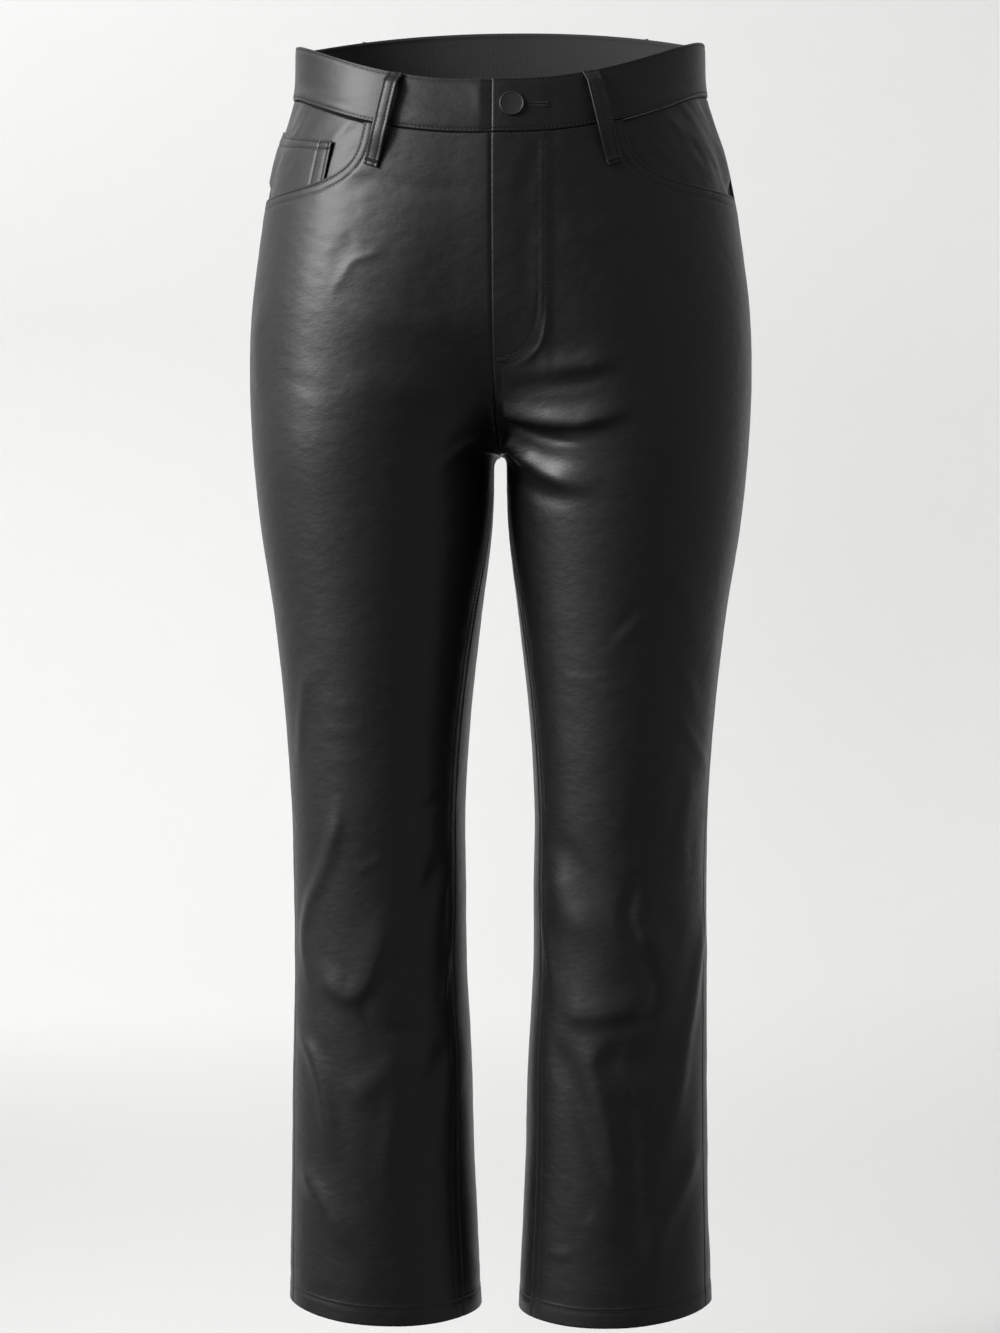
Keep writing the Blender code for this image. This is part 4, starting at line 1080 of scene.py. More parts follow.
# %% Pocket facings
FACING_UNDERLAP_TURN = 8.0
FACING_UNDERLAP = 0.014
FACING_WALL = 1.2 * MM
FACING_DEPTH = 4.4 * MM
FACING_RIM_DEPTH = 0.4 * MM
FACING_REACH = 0.12
FACING_VALLEY = 0.5 * MM
FACING_SINK_TURN = 14.0  # the turn over which the facing sinks from the side seam
FACING_SINK_BELOW = (0.020, 0.014)  # how far above the pocket's end it sinks, and over what height
FACING_COLUMNS = 70
FACING_LENGTH = 0.09
METRES_PER_DEGREE = 0.0023
PUCKER_STRETCH = 0.35
PUCKER_SIZE = 0.011
PUCKER_HEIGHT = 0.55
PUCKER_TURN = 10  # the turn over which the puckers rise from the side seam
COIN_WALL = 1.0 * MM
COIN_GAP = 0.6 * MM
COIN_GAPE = 1.7 * MM
COIN_GAPE_WIDTH = 9 * MM
COIN_WIDTH = 0.108
COIN_DROP = 0.052
COIN_SIDE_ROWS = (3.4 * MM, 13.4 * MM)
COIN_LINES = np.concatenate([EDGE_LINES[:8], np.array([5.2, 7.5, 10.0, 12.4, 13.0, 13.4, 13.8, 14.6]) * MM])
COIN_ROUND = 0.9 * MM
COIN_TURNS = (0.5, 47.0)
COIN_TOP_Z = (-0.0645, -0.086)
COIN_BOTTOM_Z = -0.1275


def facing_depth(turn, height):
    """The facing is level with the panels at the side seam and sinks under the front panel elsewhere."""
    near_end = ease((SCOOP_Z + FACING_SINK_BELOW[0] - height) / FACING_SINK_BELOW[1])
    sunk = np.maximum(ease(turn / FACING_SINK_TURN), near_end)
    return FACING_RIM_DEPTH + (FACING_DEPTH - FACING_RIM_DEPTH) * sunk


def facing_puckers(turn, height, half):
    """Small soft wrinkles that run up and forward, where the facing is pulled towards the pocket's curve."""
    forward, up = np.broadcast_arrays(turn * METRES_PER_DEGREE, height)
    place = np.stack([forward - up, (forward + up) * PUCKER_STRETCH, forward * 0], axis=-1)
    return cloth_noise(place + 3, PUCKER_SIZE, 7 + half) * PUCKER_HEIGHT * MM


def edge_line_shares(length, lines):
    """Shares of a length with close lines at both ends and even steps of 2 mm between."""
    count = max(2, int((length - 2 * lines[-1]) / (2 * MM)))
    middle = np.linspace(lines[-1], length - lines[-1], count + 1)[1:-1]
    return np.concatenate([lines, middle, length - lines[::-1]]) / length


def pocket_facing(side, half):
    """A facing runs from the side seam to a little under the front panel, and below the pocket's curve."""
    turn = np.linspace(0, SCOOP_TURN + FACING_UNDERLAP_TURN, FACING_COLUMNS)[None, :]
    down = edge_line_shares(FACING_LENGTH, EDGE_LINES[:7])[:, None]
    height = waist_seam(turn) + (SCOOP_Z - FACING_UNDERLAP - waist_seam(turn)) * down
    turn = np.broadcast_to(turn, height.shape)
    lift = -facing_depth(turn, height) + facing_puckers(turn, height, half) * ease(turn / PUCKER_TURN)
    lift += seam_valley(waist_seam(turn) - height)
    lift += seam_valley(turn / SCOOP_TURN * FACING_REACH, FACING_VALLEY)
    points, normals = skin(turn, height, half, lift)
    made = shell(f"pocket_facing_{side}_cloth", points, normals, FACING_WALL, CLOTH)
    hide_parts(f"pocket_facing_{side}")
    return made


def coin_place(across, down):
    """(turn, height) of a place on the coin pocket, whose mouth slants down towards the front."""
    turn = COIN_TURNS[0] + (COIN_TURNS[1] - COIN_TURNS[0]) * across
    top = COIN_TOP_Z[0] + (COIN_TOP_Z[1] - COIN_TOP_Z[0]) * across
    turn, _ = np.broadcast_arrays(turn, down)
    return turn, top + (COIN_BOTTOM_Z - top) * down


def coin_lift(turn, height, half, across, down):
    """The pocket's face above the surface. Its inner edge gapes: it stands off by gape * (1 - down), and that
    falls away over a few millimetres from the edge."""
    puckers = facing_puckers(turn, height, half) * ease(turn / PUCKER_TURN) * 0.5
    gape = COIN_GAPE * (1 - down) ** 1.3 * np.exp(-((COIN_WIDTH * (1 - across) / COIN_GAPE_WIDTH) ** 2))
    return COIN_GAP + COIN_WALL - facing_depth(turn, height) + puckers + gape


def coin_pocket(half):
    """The patch of the coin pocket on the facing, with its four rows of stitches."""
    across = edge_line_shares(COIN_WIDTH, COIN_LINES)[None, :]
    down = edge_line_shares(COIN_DROP, EDGE_LINES)[:, None]
    turn, height = coin_place(across, down)
    width, drop = COIN_WIDTH * (1 - across), COIN_DROP * down
    lift = coin_lift(turn, height, half, across, down)
    lift = lift + groove(drop, STITCH_IN) + groove(drop, STITCH_TWIN)
    lift = lift + groove(width, COIN_SIDE_ROWS[0]) + groove(width, COIN_SIDE_ROWS[1])
    tuck = round_edge(np.minimum(drop, width), COIN_WALL, COIN_ROUND)
    points, normals = skin(turn, height, half, lift - tuck)
    made = shell("coin_pocket_cloth", points, normals, COIN_WALL - 2 * tuck, CLOTH)
    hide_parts("coin_pocket")
    lines = []
    share = np.linspace(0, 1, 60)
    for across, down in ((share * 0.97, STITCH_IN / COIN_DROP), (share * 0.97, STITCH_TWIN / COIN_DROP),
                         *((1 - row / COIN_WIDTH, 0.04 + share * 0.96) for row in COIN_SIDE_ROWS)):
        across, down = np.broadcast_arrays(across, down)
        turn, height = coin_place(across, down)
        lift = coin_lift(turn, height, half, across, down) + COIN_THREAD_LIFT
        lines.append(skin(turn, height, half, lift))
    thread_piece("coin_pocket_stitches", lines)
    return made


for side, half in SIDES:
    PIECES.append(pocket_facing(side, half))
PIECES.append(coin_pocket(-1))

# %% [markdown]
# ## Waistband
# The waistband is one curved strip. Its left end laps over the right one at the front and carries the
# keyhole buttonhole, so the band steps out there and in beneath. It is folded over at the top, so that edge
# is round, and it is stitched all round along both edges and down its end.

# %% Waistband
BAND_WALL = 2.4 * MM
BAND_PROUD = 0.6 * MM
BAND_OVERLAP_STEP = 1.4 * MM
BAND_UNDERLAP_DEPTH = 1.3 * MM
BAND_UNDERLAP = 0.030
OVERLAP_EASE = (0.034, 0.012)  # where the step begins and how wide it is
UNDERLAP_EASE = (0.0004, 0.0026)
BAND_ROUND = 1.2 * MM
BAND_SEAM_VALLEY = 1.5 * MM
BAND_WAVES = 0.3  # the share of the slow waves that the stiff band shows
BAND_FLAT_END = 0.05
BAND_END_LINES = np.array([0, 0.05, 0.15, 0.3, 0.5, 0.75, 1.0, 1.4])  # degrees
UNDERLAP_TURNS = 14
BUTTON_X = 0.0150
BUTTON_Z = -0.0655
BUTTON_RADIUS = 9.6 * MM
EYE_RADIUS = 2.7 * MM
SLIT = 1.4 * MM
BUTTONHOLE_LENGTH = 0.026
KEYHOLE_LEVELS = (3 * MM, -2.55 * MM)
BORDER_OUT = 0.55 * MM
BORDER_WIDTH = 1.3 * MM


def band_lift(x, half):
    """The band's face above the surface: it steps out over the overlap and in under it."""
    start, width = OVERLAP_EASE if half > 0 else UNDERLAP_EASE
    level = BAND_OVERLAP_STEP if half > 0 else -BAND_UNDERLAP_DEPTH
    return BAND_PROUD + (level - BAND_PROUD) * (1 - ease((x - start) / width))


def band_place(turn, down, half):
    """Height and lift of the band's face, from its turn and its share of the way down."""
    top = waist_top(turn)
    turn, down = np.broadcast_arrays(turn, down)
    height = top + (waist_seam(turn) - top) * down
    base = surface(turn, height, half)
    lift = np.where(turn > 0, band_lift(base[..., 0] * half, half), BAND_PROUD)
    flat_end = np.where(turn > 0, ease(base[..., 0] * half / BAND_FLAT_END), 1)
    wave = cloth_noise(base + 2, 0.032, 11) * 0.30 * MM * flat_end
    dent = cloth_noise(base * [1, 1, 0.7] + 6, 0.012, 12) * 0.10 * MM
    return height, lift + wave + dent


def band_turns():
    """Turns from the underlap's end, round the right side and the back, to the overlap's end at the front."""
    front = float(turn_at(-BAND_UNDERLAP, waist_top(90.0)))
    under = np.linspace(front, 90, UNDERLAP_TURNS)[:-1]
    fine = 90 - BAND_END_LINES
    side = np.linspace(88, -90, 190)
    left = np.concatenate([side[::-1], fine[::-1]])
    return np.concatenate([under, [90.0], side]), left[1:]


def waistband():
    """The band as two grids, right and left, joined at the centre back into one shell."""
    down = edge_line_shares(BAND_HEIGHT, EDGE_LINES[:8])[:, None]
    grids = []
    for turn, half in zip(band_turns(), (-1, 1)):
        turn = np.broadcast_to(turn[None, :], (len(down), len(turn)))
        height, lift = band_place(turn, down, half)
        from_top, from_seam = down * BAND_HEIGHT, (1 - down) * BAND_HEIGHT
        lift = lift + groove(from_top, STITCH_IN) + groove(from_seam, STITCH_IN)
        lift = lift + seam_valley(from_seam, BAND_SEAM_VALLEY)
        free = np.broadcast_to(from_top, turn.shape)
        if half > 0:
            from_end = np.abs(surface(turn, height, half)[..., 0])
            free = np.where(turn > 60, np.minimum(free, from_end), free)
        tuck = round_edge(free, BAND_WALL, BAND_ROUND)
        points, normals = skin(turn, height, half, lift - tuck, BAND_WAVES)
        grids.append((points, normals, BAND_WALL - 2 * tuck))
    points, normals, thick = (np.concatenate([g[k] for g in grids], axis=1) for k in range(3))
    made = shell("waistband_cloth", points, normals, thick, CLOTH)
    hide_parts("waistband")
    return made


band = waistband()
PIECES.append(band)
print("waistband", len(band.data.polygons), "faces")


# %% Buttonhole
def on_overlap(x, height, lift):
    """Points on the face of the band's overlap by x and height, and their normals."""
    turn = turn_at(x, height)
    return skin(turn, height, 1, BAND_OVERLAP_STEP + lift, BAND_WAVES)


def keyhole(grow, samples=64):
    """The keyhole's outline about the button's place: a round eye and a slit to the wearer's left."""
    eye, half_slit, end = EYE_RADIUS + grow, SLIT / 2 + grow, BUTTONHOLE_LENGTH + grow
    join = np.sqrt(max(eye**2 - half_slit**2, 1e-12))
    start = math.atan2(half_slit, join)
    angle = np.linspace(start, 2 * np.pi - start, samples)
    eye_x, eye_z = eye * np.cos(angle), eye * np.sin(angle)
    along = np.linspace(join, end, samples // 2)
    return (np.concatenate([along[::-1], eye_x, along]),
            np.concatenate([np.full(len(along), half_slit), eye_z, np.full(len(along), -half_slit)]))


def buttonhole():
    """Cuts the keyhole through the overlap and sews its border with close stitches."""
    x, z = keyhole(0.0)
    ring_points = [on_overlap(BUTTON_X + x, BUTTON_Z + z, lift)[0] for lift in KEYHOLE_LEVELS]
    count = len(x)
    middle = [ring.mean(0) for ring in ring_points]
    points = np.concatenate([*ring_points, middle])
    ring = np.arange(count)
    on = (ring + 1) % count
    sides = np.stack([ring, on, on + count, ring + count], axis=1)
    caps = np.concatenate([np.stack([on, ring, np.full(count, 2 * count), np.full(count, 2 * count)], axis=1),
                           np.stack([ring + count, on + count, np.full(count, 2 * count + 1),
                                     np.full(count, 2 * count + 1)], axis=1)])
    mesh = bpy.data.meshes.new("keyhole")
    mesh.from_pydata(points.tolist(), [], sides.tolist() + [c[:3] for c in caps.tolist()])
    cutter = bpy.data.objects.new("keyhole", mesh)
    bpy.context.scene.collection.objects.link(cutter)
    cut = band.modifiers.new("keyhole", "BOOLEAN")
    cut.operation, cut.solver, cut.object = "DIFFERENCE", "EXACT", cutter
    graph = bpy.context.evaluated_depsgraph_get()
    done = bpy.data.meshes.new_from_object(band.evaluated_get(graph))
    band.modifiers.clear()
    band.data = done
    bpy.data.objects.remove(cutter)
    x, z = keyhole(BORDER_OUT, 110)
    path, normals = on_overlap(BUTTON_X + x, BUTTON_Z + z, 0.1 * MM)
    bar_piece("buttonhole_stitches", bartack(path, normals, BORDER_WIDTH), BORDER_WIDTH)


buttonhole()
print("waistband with its buttonhole", len(band.data.polygons), "faces")

# %% [markdown]
# ## Belt loops
# A belt loop is a folded strip with a row of stitches near each side. It is sewn down above the band and
# below its seam, and stands off the cloth between, so that a belt passes under it. The strip is softly
# cushioned between its edges and its stitches.

# %% Belt loops
LOOP_WIDTH = 12.5 * MM
LOOP_WALL = 2.0 * MM
LOOP_STITCH_IN = 3.0 * MM
LOOP_ARCH = 5.8 * MM
LOOP_BELOW_SEAM = 0.032
LOOP_TOP_DROP = 0.0006
LOOP_PROUD = 0.5 * MM
LOOP_LENGTH = 0.073
LOOP_ROUND = 0.7 * MM
LOOP_PUFF = 0.12 * MM
LOOP_THREAD_LIFT = -0.30 * MM
LOOP_BARS = (0.07, 0.955)  # shares of the length
LOOP_BAR_WIDTH = 2.0 * MM
ARCH_EASE = (0.14, 0.42)  # shares of the length, above and below
BAND_END = (0.45, 0.12)  # where the loop leaves the band, and over what share
LOOPS = (
    ("belt_loop_front_right", -1, 65.0, 62.5),
    ("belt_loop_front_left", 1, 65.0, 62.5),
    ("belt_loop_back_right", -1, -48.0, -46.0),
    ("belt_loop_back_left", 1, -48.0, -46.0),
    ("belt_loop_centre_back", 1, -90.0, -90.0),
)


def belt_loop(name, half, top_turn, bottom_turn):
    """A strip carried along a line down the band, lifted by an arch with eased ends."""
    share = np.concatenate([[0, 0.002, 0.006, 0.012], np.linspace(0.02, 0.98, 60), [0.988, 0.994, 0.998, 1]])
    turn = top_turn + (bottom_turn - top_turn) * share
    top = waist_top(turn) - LOOP_TOP_DROP
    height = top + (waist_seam(turn) - LOOP_BELOW_SEAM - top) * share
    centre = surface(turn, height, half)
    along = unit(np.gradient(centre, share, axis=0))
    normal = unit(np.cross(along, surface(turn - 1.0, height, half) - centre))
    normal *= np.sign((normal * (centre * [1, 1, 0])).sum(axis=1, keepdims=True))
    across = unit(np.cross(normal, along))
    sewn = BAND_PROUD * (1 - ease((share - BAND_END[0]) / BAND_END[1])) + LOOP_PROUD
    arch = LOOP_ARCH * ease(share / ARCH_EASE[0]) * ease((1 - share) / ARCH_EASE[1])
    uneven = cloth_noise(np.stack([share * 3 + half, share * 0 + top_turn / 9, share * 0], axis=1), 0.7, 21)
    lift = sewn + arch * (1 + 0.10 * uneven) + LOOP_WALL
    half_width = LOOP_WIDTH / 2
    edge = half_width - EDGE_LINES[:8]
    side = np.concatenate([-half_width + EDGE_LINES[:8], [-1.6 * MM, 0, 1.6 * MM], edge[::-1]])
    from_side = half_width - np.abs(side)
    from_end = np.minimum(share, 1 - share) * LOOP_LENGTH
    free = np.minimum(from_side[None, :], from_end[:, None])
    tuck = round_edge(free, LOOP_WALL, LOOP_ROUND)
    puff = LOOP_PUFF * np.cos(side / half_width * np.pi / 2)[None, :]
    rise = lift[:, None] + puff + groove(from_side, LOOP_STITCH_IN, 0.5 * MM, 0.7 * MM)[None, :] - tuck
    grid = centre[:, None, :] + across[:, None, :] * side[None, :, None] + normal[:, None, :] * rise[..., None]
    made = shell(name + "_strap", grid, np.broadcast_to(normal[:, None, :], grid.shape), LOOP_WALL - 2 * tuck,
                 (LEATHER, LEATHER))
    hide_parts(name)
    lines = []
    for sign in (-1, 1):
        offset = sign * (half_width - LOOP_STITCH_IN)
        lines.append((centre + across * offset + normal * (lift + LOOP_THREAD_LIFT)[:, None], normal))
    bars = []
    for at in LOOP_BARS:
        k = int(np.abs(share - at).argmin())
        bar = centre[k] + across[k] * np.linspace(-0.42, 0.42, 9)[:, None] * LOOP_WIDTH
        bar = bar + normal[k] * (lift[k] + 0.25 * MM)
        bars += bartack(bar, np.broadcast_to(normal[k], bar.shape), LOOP_BAR_WIDTH)
    thread_piece(name + "_stitches", lines)
    bar_piece(name + "_bars", bars, LOOP_BAR_WIDTH)
    return made


for loop in LOOPS:
    PIECES.append(belt_loop(*loop))

# %% [markdown]
# ## Button, fly shield and zip
# The button is turned from one profile: a flat face inside a low rim. Behind the fly lie the closed zip and
# the shield that keeps it off the wearer. Both are strips on the same surface, a few layers down.


# %% Button
def button():
    """A profile of (radius, level) carried round the button's own axis."""
    _, normals = on_overlap(np.array([BUTTON_X]), np.array([BUTTON_Z]), -BAND_OVERLAP_STEP)
    point, normal = surface(turn_at(BUTTON_X, BUTTON_Z), BUTTON_Z, 1), normals[0]
    back = BAND_OVERLAP_STEP + 0.5 * MM
    foot = -BAND_UNDERLAP_DEPTH + 0.3 * MM
    r = BUTTON_RADIUS
    profile = np.array([
        (0.02 * MM, foot), (2.2 * MM, foot), (2.2 * MM, back + 0.2 * MM), (r - 0.8 * MM, back + 0.2 * MM),
        (r - 0.25 * MM, back + 0.4 * MM), (r, back + 0.95 * MM), (r, back + 1.7 * MM),
        (r - 0.2 * MM, back + 2.2 * MM), (r - 0.55 * MM, back + 2.5 * MM), (r - 0.95 * MM, back + 2.6 * MM),
        (r - 1.3 * MM, back + 2.5 * MM), (r - 1.6 * MM, back + 2.28 * MM), (r - 2.1 * MM, back + 2.2 * MM),
        (0.02 * MM, back + 2.25 * MM)])
    angle = np.arange(96) / 96 * 2 * np.pi
    side = unit(np.cross(normal, [0.0, 0.0, 1.0]))
    up = np.cross(side, normal)
    ring = side * np.cos(angle)[:, None] + up * np.sin(angle)[:, None]
    grid = point + ring[None] * profile[:, 0][:, None, None] + normal * profile[:, 1][:, None, None]
    rows, columns = grid.shape[:2]
    i, j = np.meshgrid(np.arange(rows - 1), np.arange(columns), indexing="ij")
    a, b = (i * columns + j).ravel(), (i * columns + (j + 1) % columns).ravel()
    quads = np.stack([a, b, b + columns, a + columns], axis=1)
    made = mesh_object("button_cap", grid.reshape(-1, 3), quads, None, (PAINT,), 40.0)
    bm = bmesh.new()
    bm.from_mesh(made.data)
    bmesh.ops.holes_fill(bm, edges=[e for e in bm.edges if e.is_boundary], sides=0)
    bmesh.ops.recalc_face_normals(bm, faces=bm.faces)
    bm.to_mesh(made.data)
    bm.free()
    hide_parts("button")
    return made


PIECES.append(button())

# %% Fly shield and zip
STRIP_COLUMNS = 24
STRIP_ROWS = 90
STRIP_TOP_DROP = 0.3 * MM
ZIP_DEPTH = PANEL_WALL + 2.4 * MM
SHIELD_DEPTH = ZIP_DEPTH + 1.6 * MM


def fly_strip(name, x_range, depth, thickness, above_end, finishes, node):
    """A strip behind the fly from the waist seam to a little above the fly's end."""
    x = np.linspace(*x_range, STRIP_COLUMNS)[None, :]
    top = waist_seam(90.0) - STRIP_TOP_DROP
    height = top + (FLY_END_Z + above_end - top) * np.linspace(0, 1, STRIP_ROWS)[:, None]
    x, height = np.broadcast_arrays(x, height)
    points, normals = skin(turn_at(x, height), height, 1, -depth)
    made = shell(name, points, normals, thickness, finishes)
    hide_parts(node)
    return made


for strip in (("zip_tape_strip", (-0.006, 0.026), ZIP_DEPTH, 0.8 * MM, 0.008, (THREAD, THREAD), "fly_zip"),
              ("fly_shield_cloth", (-0.012, 0.032), SHIELD_DEPTH, 1.2 * MM, 0.004, CLOTH, "fly_shield")):
    PIECES.append(fly_strip(*strip))

# %% [markdown]
# ## Rows of stitches
# The rows follow the seams at a set distance, so they are taken from the lines of the panels' own grids
# where those run along an edge. The pocket's curve and the fly's J have lines of their own.

# %% Rows of stitches
GRID_THREAD_LIFT = 0.05 * MM  # from the cloth in its groove
TURN_STEP = 0.2
HEIGHT_STEP = 0.0005


def grid_line(panel, half, distance, keep):
    """A row of stitches along a panel's inner edge: the grid's column nearest to that distance, kept where
    keep says."""
    _, turn, height, from_inner, lift = panel
    j = int(np.abs(from_inner[len(from_inner) // 2] - distance).argmin())
    rows = keep(height[:, j])
    return skin(turn[rows, j], height[rows, j], half, lift[rows, j] + GRID_THREAD_LIFT)


def hem_line(panel, half):
    """A panel's row of stitches round the hem."""
    turn = panel[1][-1]
    return skin(turn, hem_height(turn) + HEM_STITCH, half, HEM_THREAD_LIFT)


def scoop_rows(half):
    """Two rows inside the front panel's pocket edge, each moved off the curve along the surface."""
    lines = []
    for distance in (STITCH_IN, STITCH_TWIN):
        turn, height = scoop_edge(np.linspace(0, 1, 160))
        line = surface(turn, height, half)
        along = unit(np.gradient(line, axis=0))
        ahead, behind = surface(turn + TURN_STEP, height, half), surface(turn - TURN_STEP, height, half)
        above, below = surface(turn, height + HEIGHT_STEP, half), surface(turn, height - HEIGHT_STEP, half)
        per_turn, per_height = (ahead - behind) / (2 * TURN_STEP), (above - below) / (2 * HEIGHT_STEP)
        normal = surface_normals(turn, height, half)
        aside = np.cross(normal, along)
        inward = unit(aside) * np.sign((aside * per_turn).sum(1)[:1]) * distance
        a = (per_turn * per_turn).sum(1)
        b = (per_turn * per_height).sum(1)
        c = (per_height * per_height).sum(1)
        p, q = (per_turn * inward).sum(1), (per_height * inward).sum(1)
        det = a * c - b * b
        turn, height = turn + (c * p - b * q) / det, height + (a * q - b * p) / det
        inside = (height < waist_seam(turn) - 1 * MM) & (turn > 0.6)
        lines.append(skin(turn[inside], height[inside], half, THREAD_LIFT))
    return lines


def band_row(from_top, half, turns):
    """A row of stitches along the waistband at a distance from its top edge."""
    height, lift = band_place(turns, from_top / BAND_HEIGHT, half)
    return skin(turns, height, half, lift + THREAD_LIFT, BAND_WAVES)


def between(low, high):
    """Says which heights lie between two others."""
    return lambda height: (height > low) & (height < high)


BELOW_CROTCH = between(-np.inf, CROTCH_Z - 0.004)
ABOVE_CROTCH = between(CROTCH_Z + 0.01, np.inf)
UNDER_FLY = between(CROTCH_Z + 0.002, FLY_END_Z - 0.004)

for side, half, seat_rows in (("right", -1, (STITCH_IN,)), ("left", 1, (STITCH_IN, STITCH_TWIN))):
    front, back = front_grids[side], back_grids[side]
    thread_piece(f"pocket_{side}_stitches", scoop_rows(half))
    thread_piece(f"inseam_{side}_stitches",
                 [grid_line(front, half, row, BELOW_CROTCH) for row in (STITCH_IN, STITCH_TWIN)])
    thread_piece(f"hem_{side}_stitches", [hem_line(front, half), hem_line(back, half)])
    thread_piece(f"seat_{side}_stitches", [grid_line(back, half, row, ABOVE_CROTCH) for row in seat_rows])

fly_rows = []
for knots in (FLY_J_IN, FLY_J_OUT):
    turn, height = fly_line(knots)
    lift = flap_lift(surface(turn, height, 1)[..., 0], height, 1)
    fly_rows.append(skin(turn, height, 1, lift + J_THREAD_LIFT))
thread_piece("fly_stitches", fly_rows)
thread_piece("fly_seam_stitches", [grid_line(front_grids["left"], 1, FLY_SEAM_ROW, UNDER_FLY)])

turns_right, turns_left = band_turns()
both = ((turns_right[UNDERLAP_TURNS:], -1), (turns_left[:-len(BAND_END_LINES)], 1))
thread_piece("waistband_top_stitches", [band_row(STITCH_IN, half, turns) for turns, half in both])
thread_piece("waistband_seam_stitches",
             [band_row(BAND_HEIGHT - STITCH_IN, half, turns) for turns, half in both],
             pitch=3.3 * MM, radius=0.40 * MM)
end_z = np.linspace(waist_top(90.0) - STITCH_IN, waist_seam(90.0) + STITCH_IN, 20)
thread_piece("waistband_end_stitches", [on_overlap(np.full(20, STITCH_IN), end_z, 0.0)])
FLY_BAR_WIDTH = 2.6 * MM
bar_x = np.linspace(3.0, 10.5, 12) * MM
bar_z = np.full(12, -0.2555)
bar_points, bar_normals = skin(turn_at(bar_x, bar_z), bar_z, 1, FLY_FLAP_OUT + 0.1 * MM)
bar_piece("fly_bar", bartack(bar_points, bar_normals, FLY_BAR_WIDTH), FLY_BAR_WIDTH)

# %% [markdown]
# ## The pieces on one body
# Each piece rides on the one body. A table gives each sheet of cloth the size that it was cut to, which is
# its measured outline laid flat.

# %% Bodies and sheets
for piece in PIECES:
    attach(piece, "root")

PANEL_THREADS = {
    "front_right": ("pocket_right_stitches", "inseam_right_stitches", "hem_right_stitches"),
    "front_left": ("pocket_left_stitches", "inseam_left_stitches", "hem_left_stitches", "fly_stitches",
                   "fly_seam_stitches", "fly_bar"),
    "back_right": ("seat_right_stitches",),
    "back_left": ("seat_left_stitches",),
}
LOOP_NAMES = [loop[0] for loop in LOOPS]
SHEETS = [  # piece, width, length and area in metres, how it is held, what it hangs from or lies on, threads
    ("front_right_cloth", 0.328, 0.94, 0.193, "hung", ["waistband_cloth"], PANEL_THREADS["front_right"]),
    ("front_left_cloth", 0.328, 0.94, 0.192, "hung", ["waistband_cloth"], PANEL_THREADS["front_left"]),
    ("back_right_cloth", 0.348, 1.03, 0.284, "hung", ["waistband_cloth"], PANEL_THREADS["back_right"]),
    ("back_left_cloth", 0.348, 1.03, 0.284, "hung", ["waistband_cloth"], PANEL_THREADS["back_left"]),
    ("waistband_cloth", 0.925, 0.041, None, "stretched", [],
     ("waistband_top_stitches", "waistband_seam_stitches", "waistband_end_stitches", "buttonhole_stitches")),
    ("pocket_facing_right_cloth", 0.135, 0.095, 0.0124, "hung", ["waistband_cloth"], ()),
    ("pocket_facing_left_cloth", 0.135, 0.095, 0.0124, "hung", ["waistband_cloth"], ()),
    ("coin_pocket_cloth", 0.108, 0.062, 0.0056, "laid", ["pocket_facing_right_cloth"],
     ("coin_pocket_stitches",)),
    ("fly_shield_cloth", 0.044, 0.178, None, "hung", ["waistband_cloth"], ()),
    ("zip_tape_strip", 0.032, 0.175, None, "hung", ["waistband_cloth"], ()),
] + [(name + "_strap", LOOP_WIDTH, 0.085, None, "stretched", ["waistband_cloth"],
      (name + "_stitches", name + "_bars")) for name in LOOP_NAMES]

for name, width, length, area, held, under, threads in SHEETS:
    [bpy.data.objects[t] for t in threads]
    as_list(under)
print(len(SHEETS), "sheets of cloth")

# %% [markdown]
# ## Studio
# A seamless sheet of pale paper covers the floor and runs up behind the trousers. It is bent round them as
# well, so the edges of the legs reflect it. Its colour is painted darker near the front and low down on the
# wearer's left, as painted shade. A tall soft light high at the wearer's right puts the long highlight on
# that side of each leg. The room in front is dim, which keeps the black leather black.


# %% Floor and backdrop
FLOOR_Z = -1.12
ROOM_RADIUS = 4.6
ROOM_BEND = 1.4
WALL_TOP = 4.2


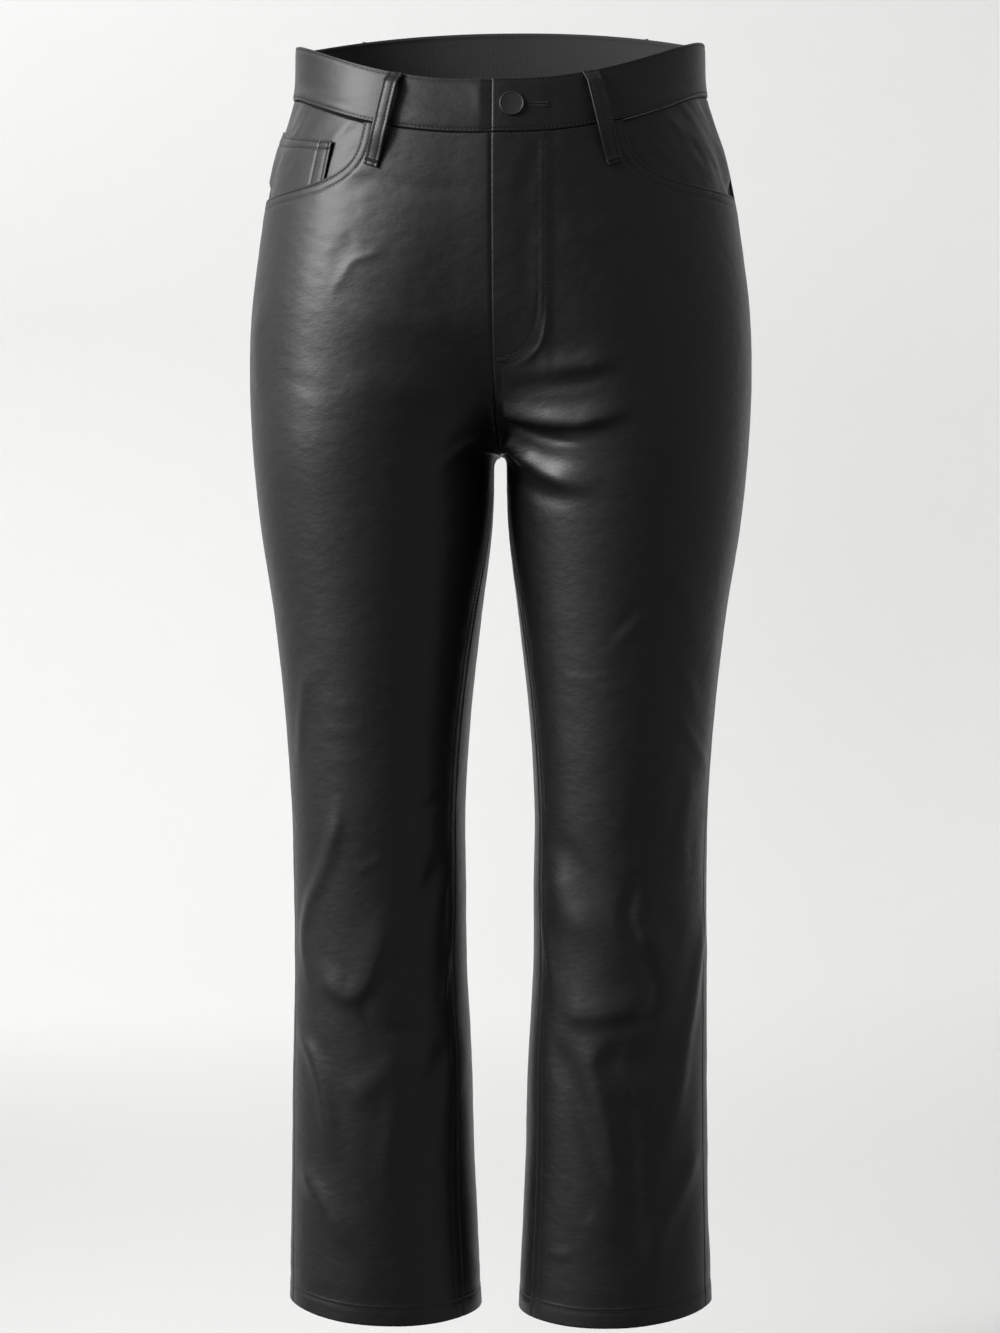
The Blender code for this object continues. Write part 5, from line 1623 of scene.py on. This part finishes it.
def backdrop():
    """A disc of floor that turns up into a wall round the back of the room."""
    bend = np.radians(np.linspace(0, 90, 16))
    turned = ROOM_RADIUS - ROOM_BEND + ROOM_BEND * np.sin(bend)
    reach = np.concatenate([[0.01, 1.0, 2.0], turned, [ROOM_RADIUS]])
    level = np.concatenate([[FLOOR_Z] * 3, FLOOR_Z + ROOM_BEND * (1 - np.cos(bend)), [WALL_TOP]])
    wide = np.where(level > FLOOR_Z + 0.01, 46 + 20 * ease(level / 2.0), 70)
    round_by = np.radians(wide)[:, None] * np.linspace(-1, 1, 49)
    grid = np.stack([reach[:, None] * np.sin(round_by), reach[:, None] * np.cos(round_by),
                     np.broadcast_to(level[:, None], round_by.shape)], axis=-1)
    mesh = bpy.data.meshes.new("backdrop")
    mesh.from_pydata(grid.reshape(-1, 3).tolist(), [], quads_of(*grid.shape[:2]).tolist())
    mesh.shade_smooth()
    paper = Finish("paper", Roughness=0.9, Specular_IOR_Level=0.1)
    split = paper.node("ShaderNodeSeparateXYZ", {}, {"Vector": paper.place})
    x, y, z = (Value(paper.tree, split.socket.node.outputs[k]) for k in range(3))
    # Painted shade: the paper's colour is darker towards the front of the floor, and darker again low down on
    # the wearer's left; only the faint noise is the paper's own uneven tone.
    near, low, aside = ramp(y, 3.4, 0.8), ramp(z, 0.8, -0.5), ramp(x, -0.8, 0.8)
    share = 1 - near * 0.52 - low * aside * 0.46 + paper.noise(3.0, 4.0) * 0.04
    paper.feed("Base Color", paper.between(share, (0.722, 0.720, 0.715), (0.925, 0.925, 0.918)))
    mesh.materials.append(paper.material)
    made = bpy.data.objects.new("backdrop", mesh)
    bpy.context.scene.collection.objects.link(made)
    front = bpy.data.meshes.new("floor_front")
    r = ROOM_RADIUS
    front.from_pydata([(-r, -r, FLOOR_Z - 0.001), (r, -r, FLOOR_Z - 0.001), (r, 0.6, FLOOR_Z - 0.001),
                       (-r, 0.6, FLOOR_Z - 0.001)], [], [(0, 1, 2, 3)])
    front.materials.append(paper.material)
    floor = bpy.data.objects.new("floor_front", front)
    bpy.context.scene.collection.objects.link(floor)
    floor.visible_glossy = False
    floor.visible_diffuse = False


# %% Lights
def soft_light(name, place, aim, size, power, spread):
    """A rectangle of light that looks at a point. Its spread is in degrees."""
    data = bpy.data.lights.new(name, "AREA")
    data.spread = math.radians(spread)
    data.shape = "RECTANGLE"
    data.size, data.size_y = size
    data.energy = power
    made = bpy.data.objects.new(name, data)
    made.location = place
    made.rotation_euler = Vector(np.subtract(aim, place)).to_track_quat("-Z", "Y").to_euler()
    bpy.context.scene.collection.objects.link(made)


backdrop()
soft_light("key", (-2.35, -1.25, 1.05), (0.0, 0.0, -0.2), (1.25, 1.75), 23.5, 70)
soft_light("wall", (-2.3, 1.6, 3.1), (-1.6, 4.2, 0.4), (3.0, 1.0), 66.0, 130)


# %% The room in front
def dim_room():
    """The light of the room by direction: pale diffusers at the wearer's right, brighter above than below."""
    world = bpy.data.worlds.new("room")
    world.use_nodes = True
    tree = world.node_tree
    toward = Value.node(tree, "ShaderNodeTexCoord", {}, {}, "Generated")
    split = Value.node(tree, "ShaderNodeSeparateXYZ", {}, {"Vector": toward})
    x, z = (Value(tree, split.socket.node.outputs[k]) for k in (0, 2))
    left = ramp(x, 0.15, -0.55)
    above = ramp(z, -0.35, 0.35)
    right = ramp(x, 0.05, 0.9)
    light = left * (above * 0.75 + 0.25) + right * 0.33 + 0.06
    tree.links.new(light.socket, tree.nodes["Background"].inputs["Strength"])
    tree.nodes["Background"].inputs["Color"].default_value = (1.0, 1.0, 1.0, 1.0)
    bpy.context.scene.world = world


dim_room()
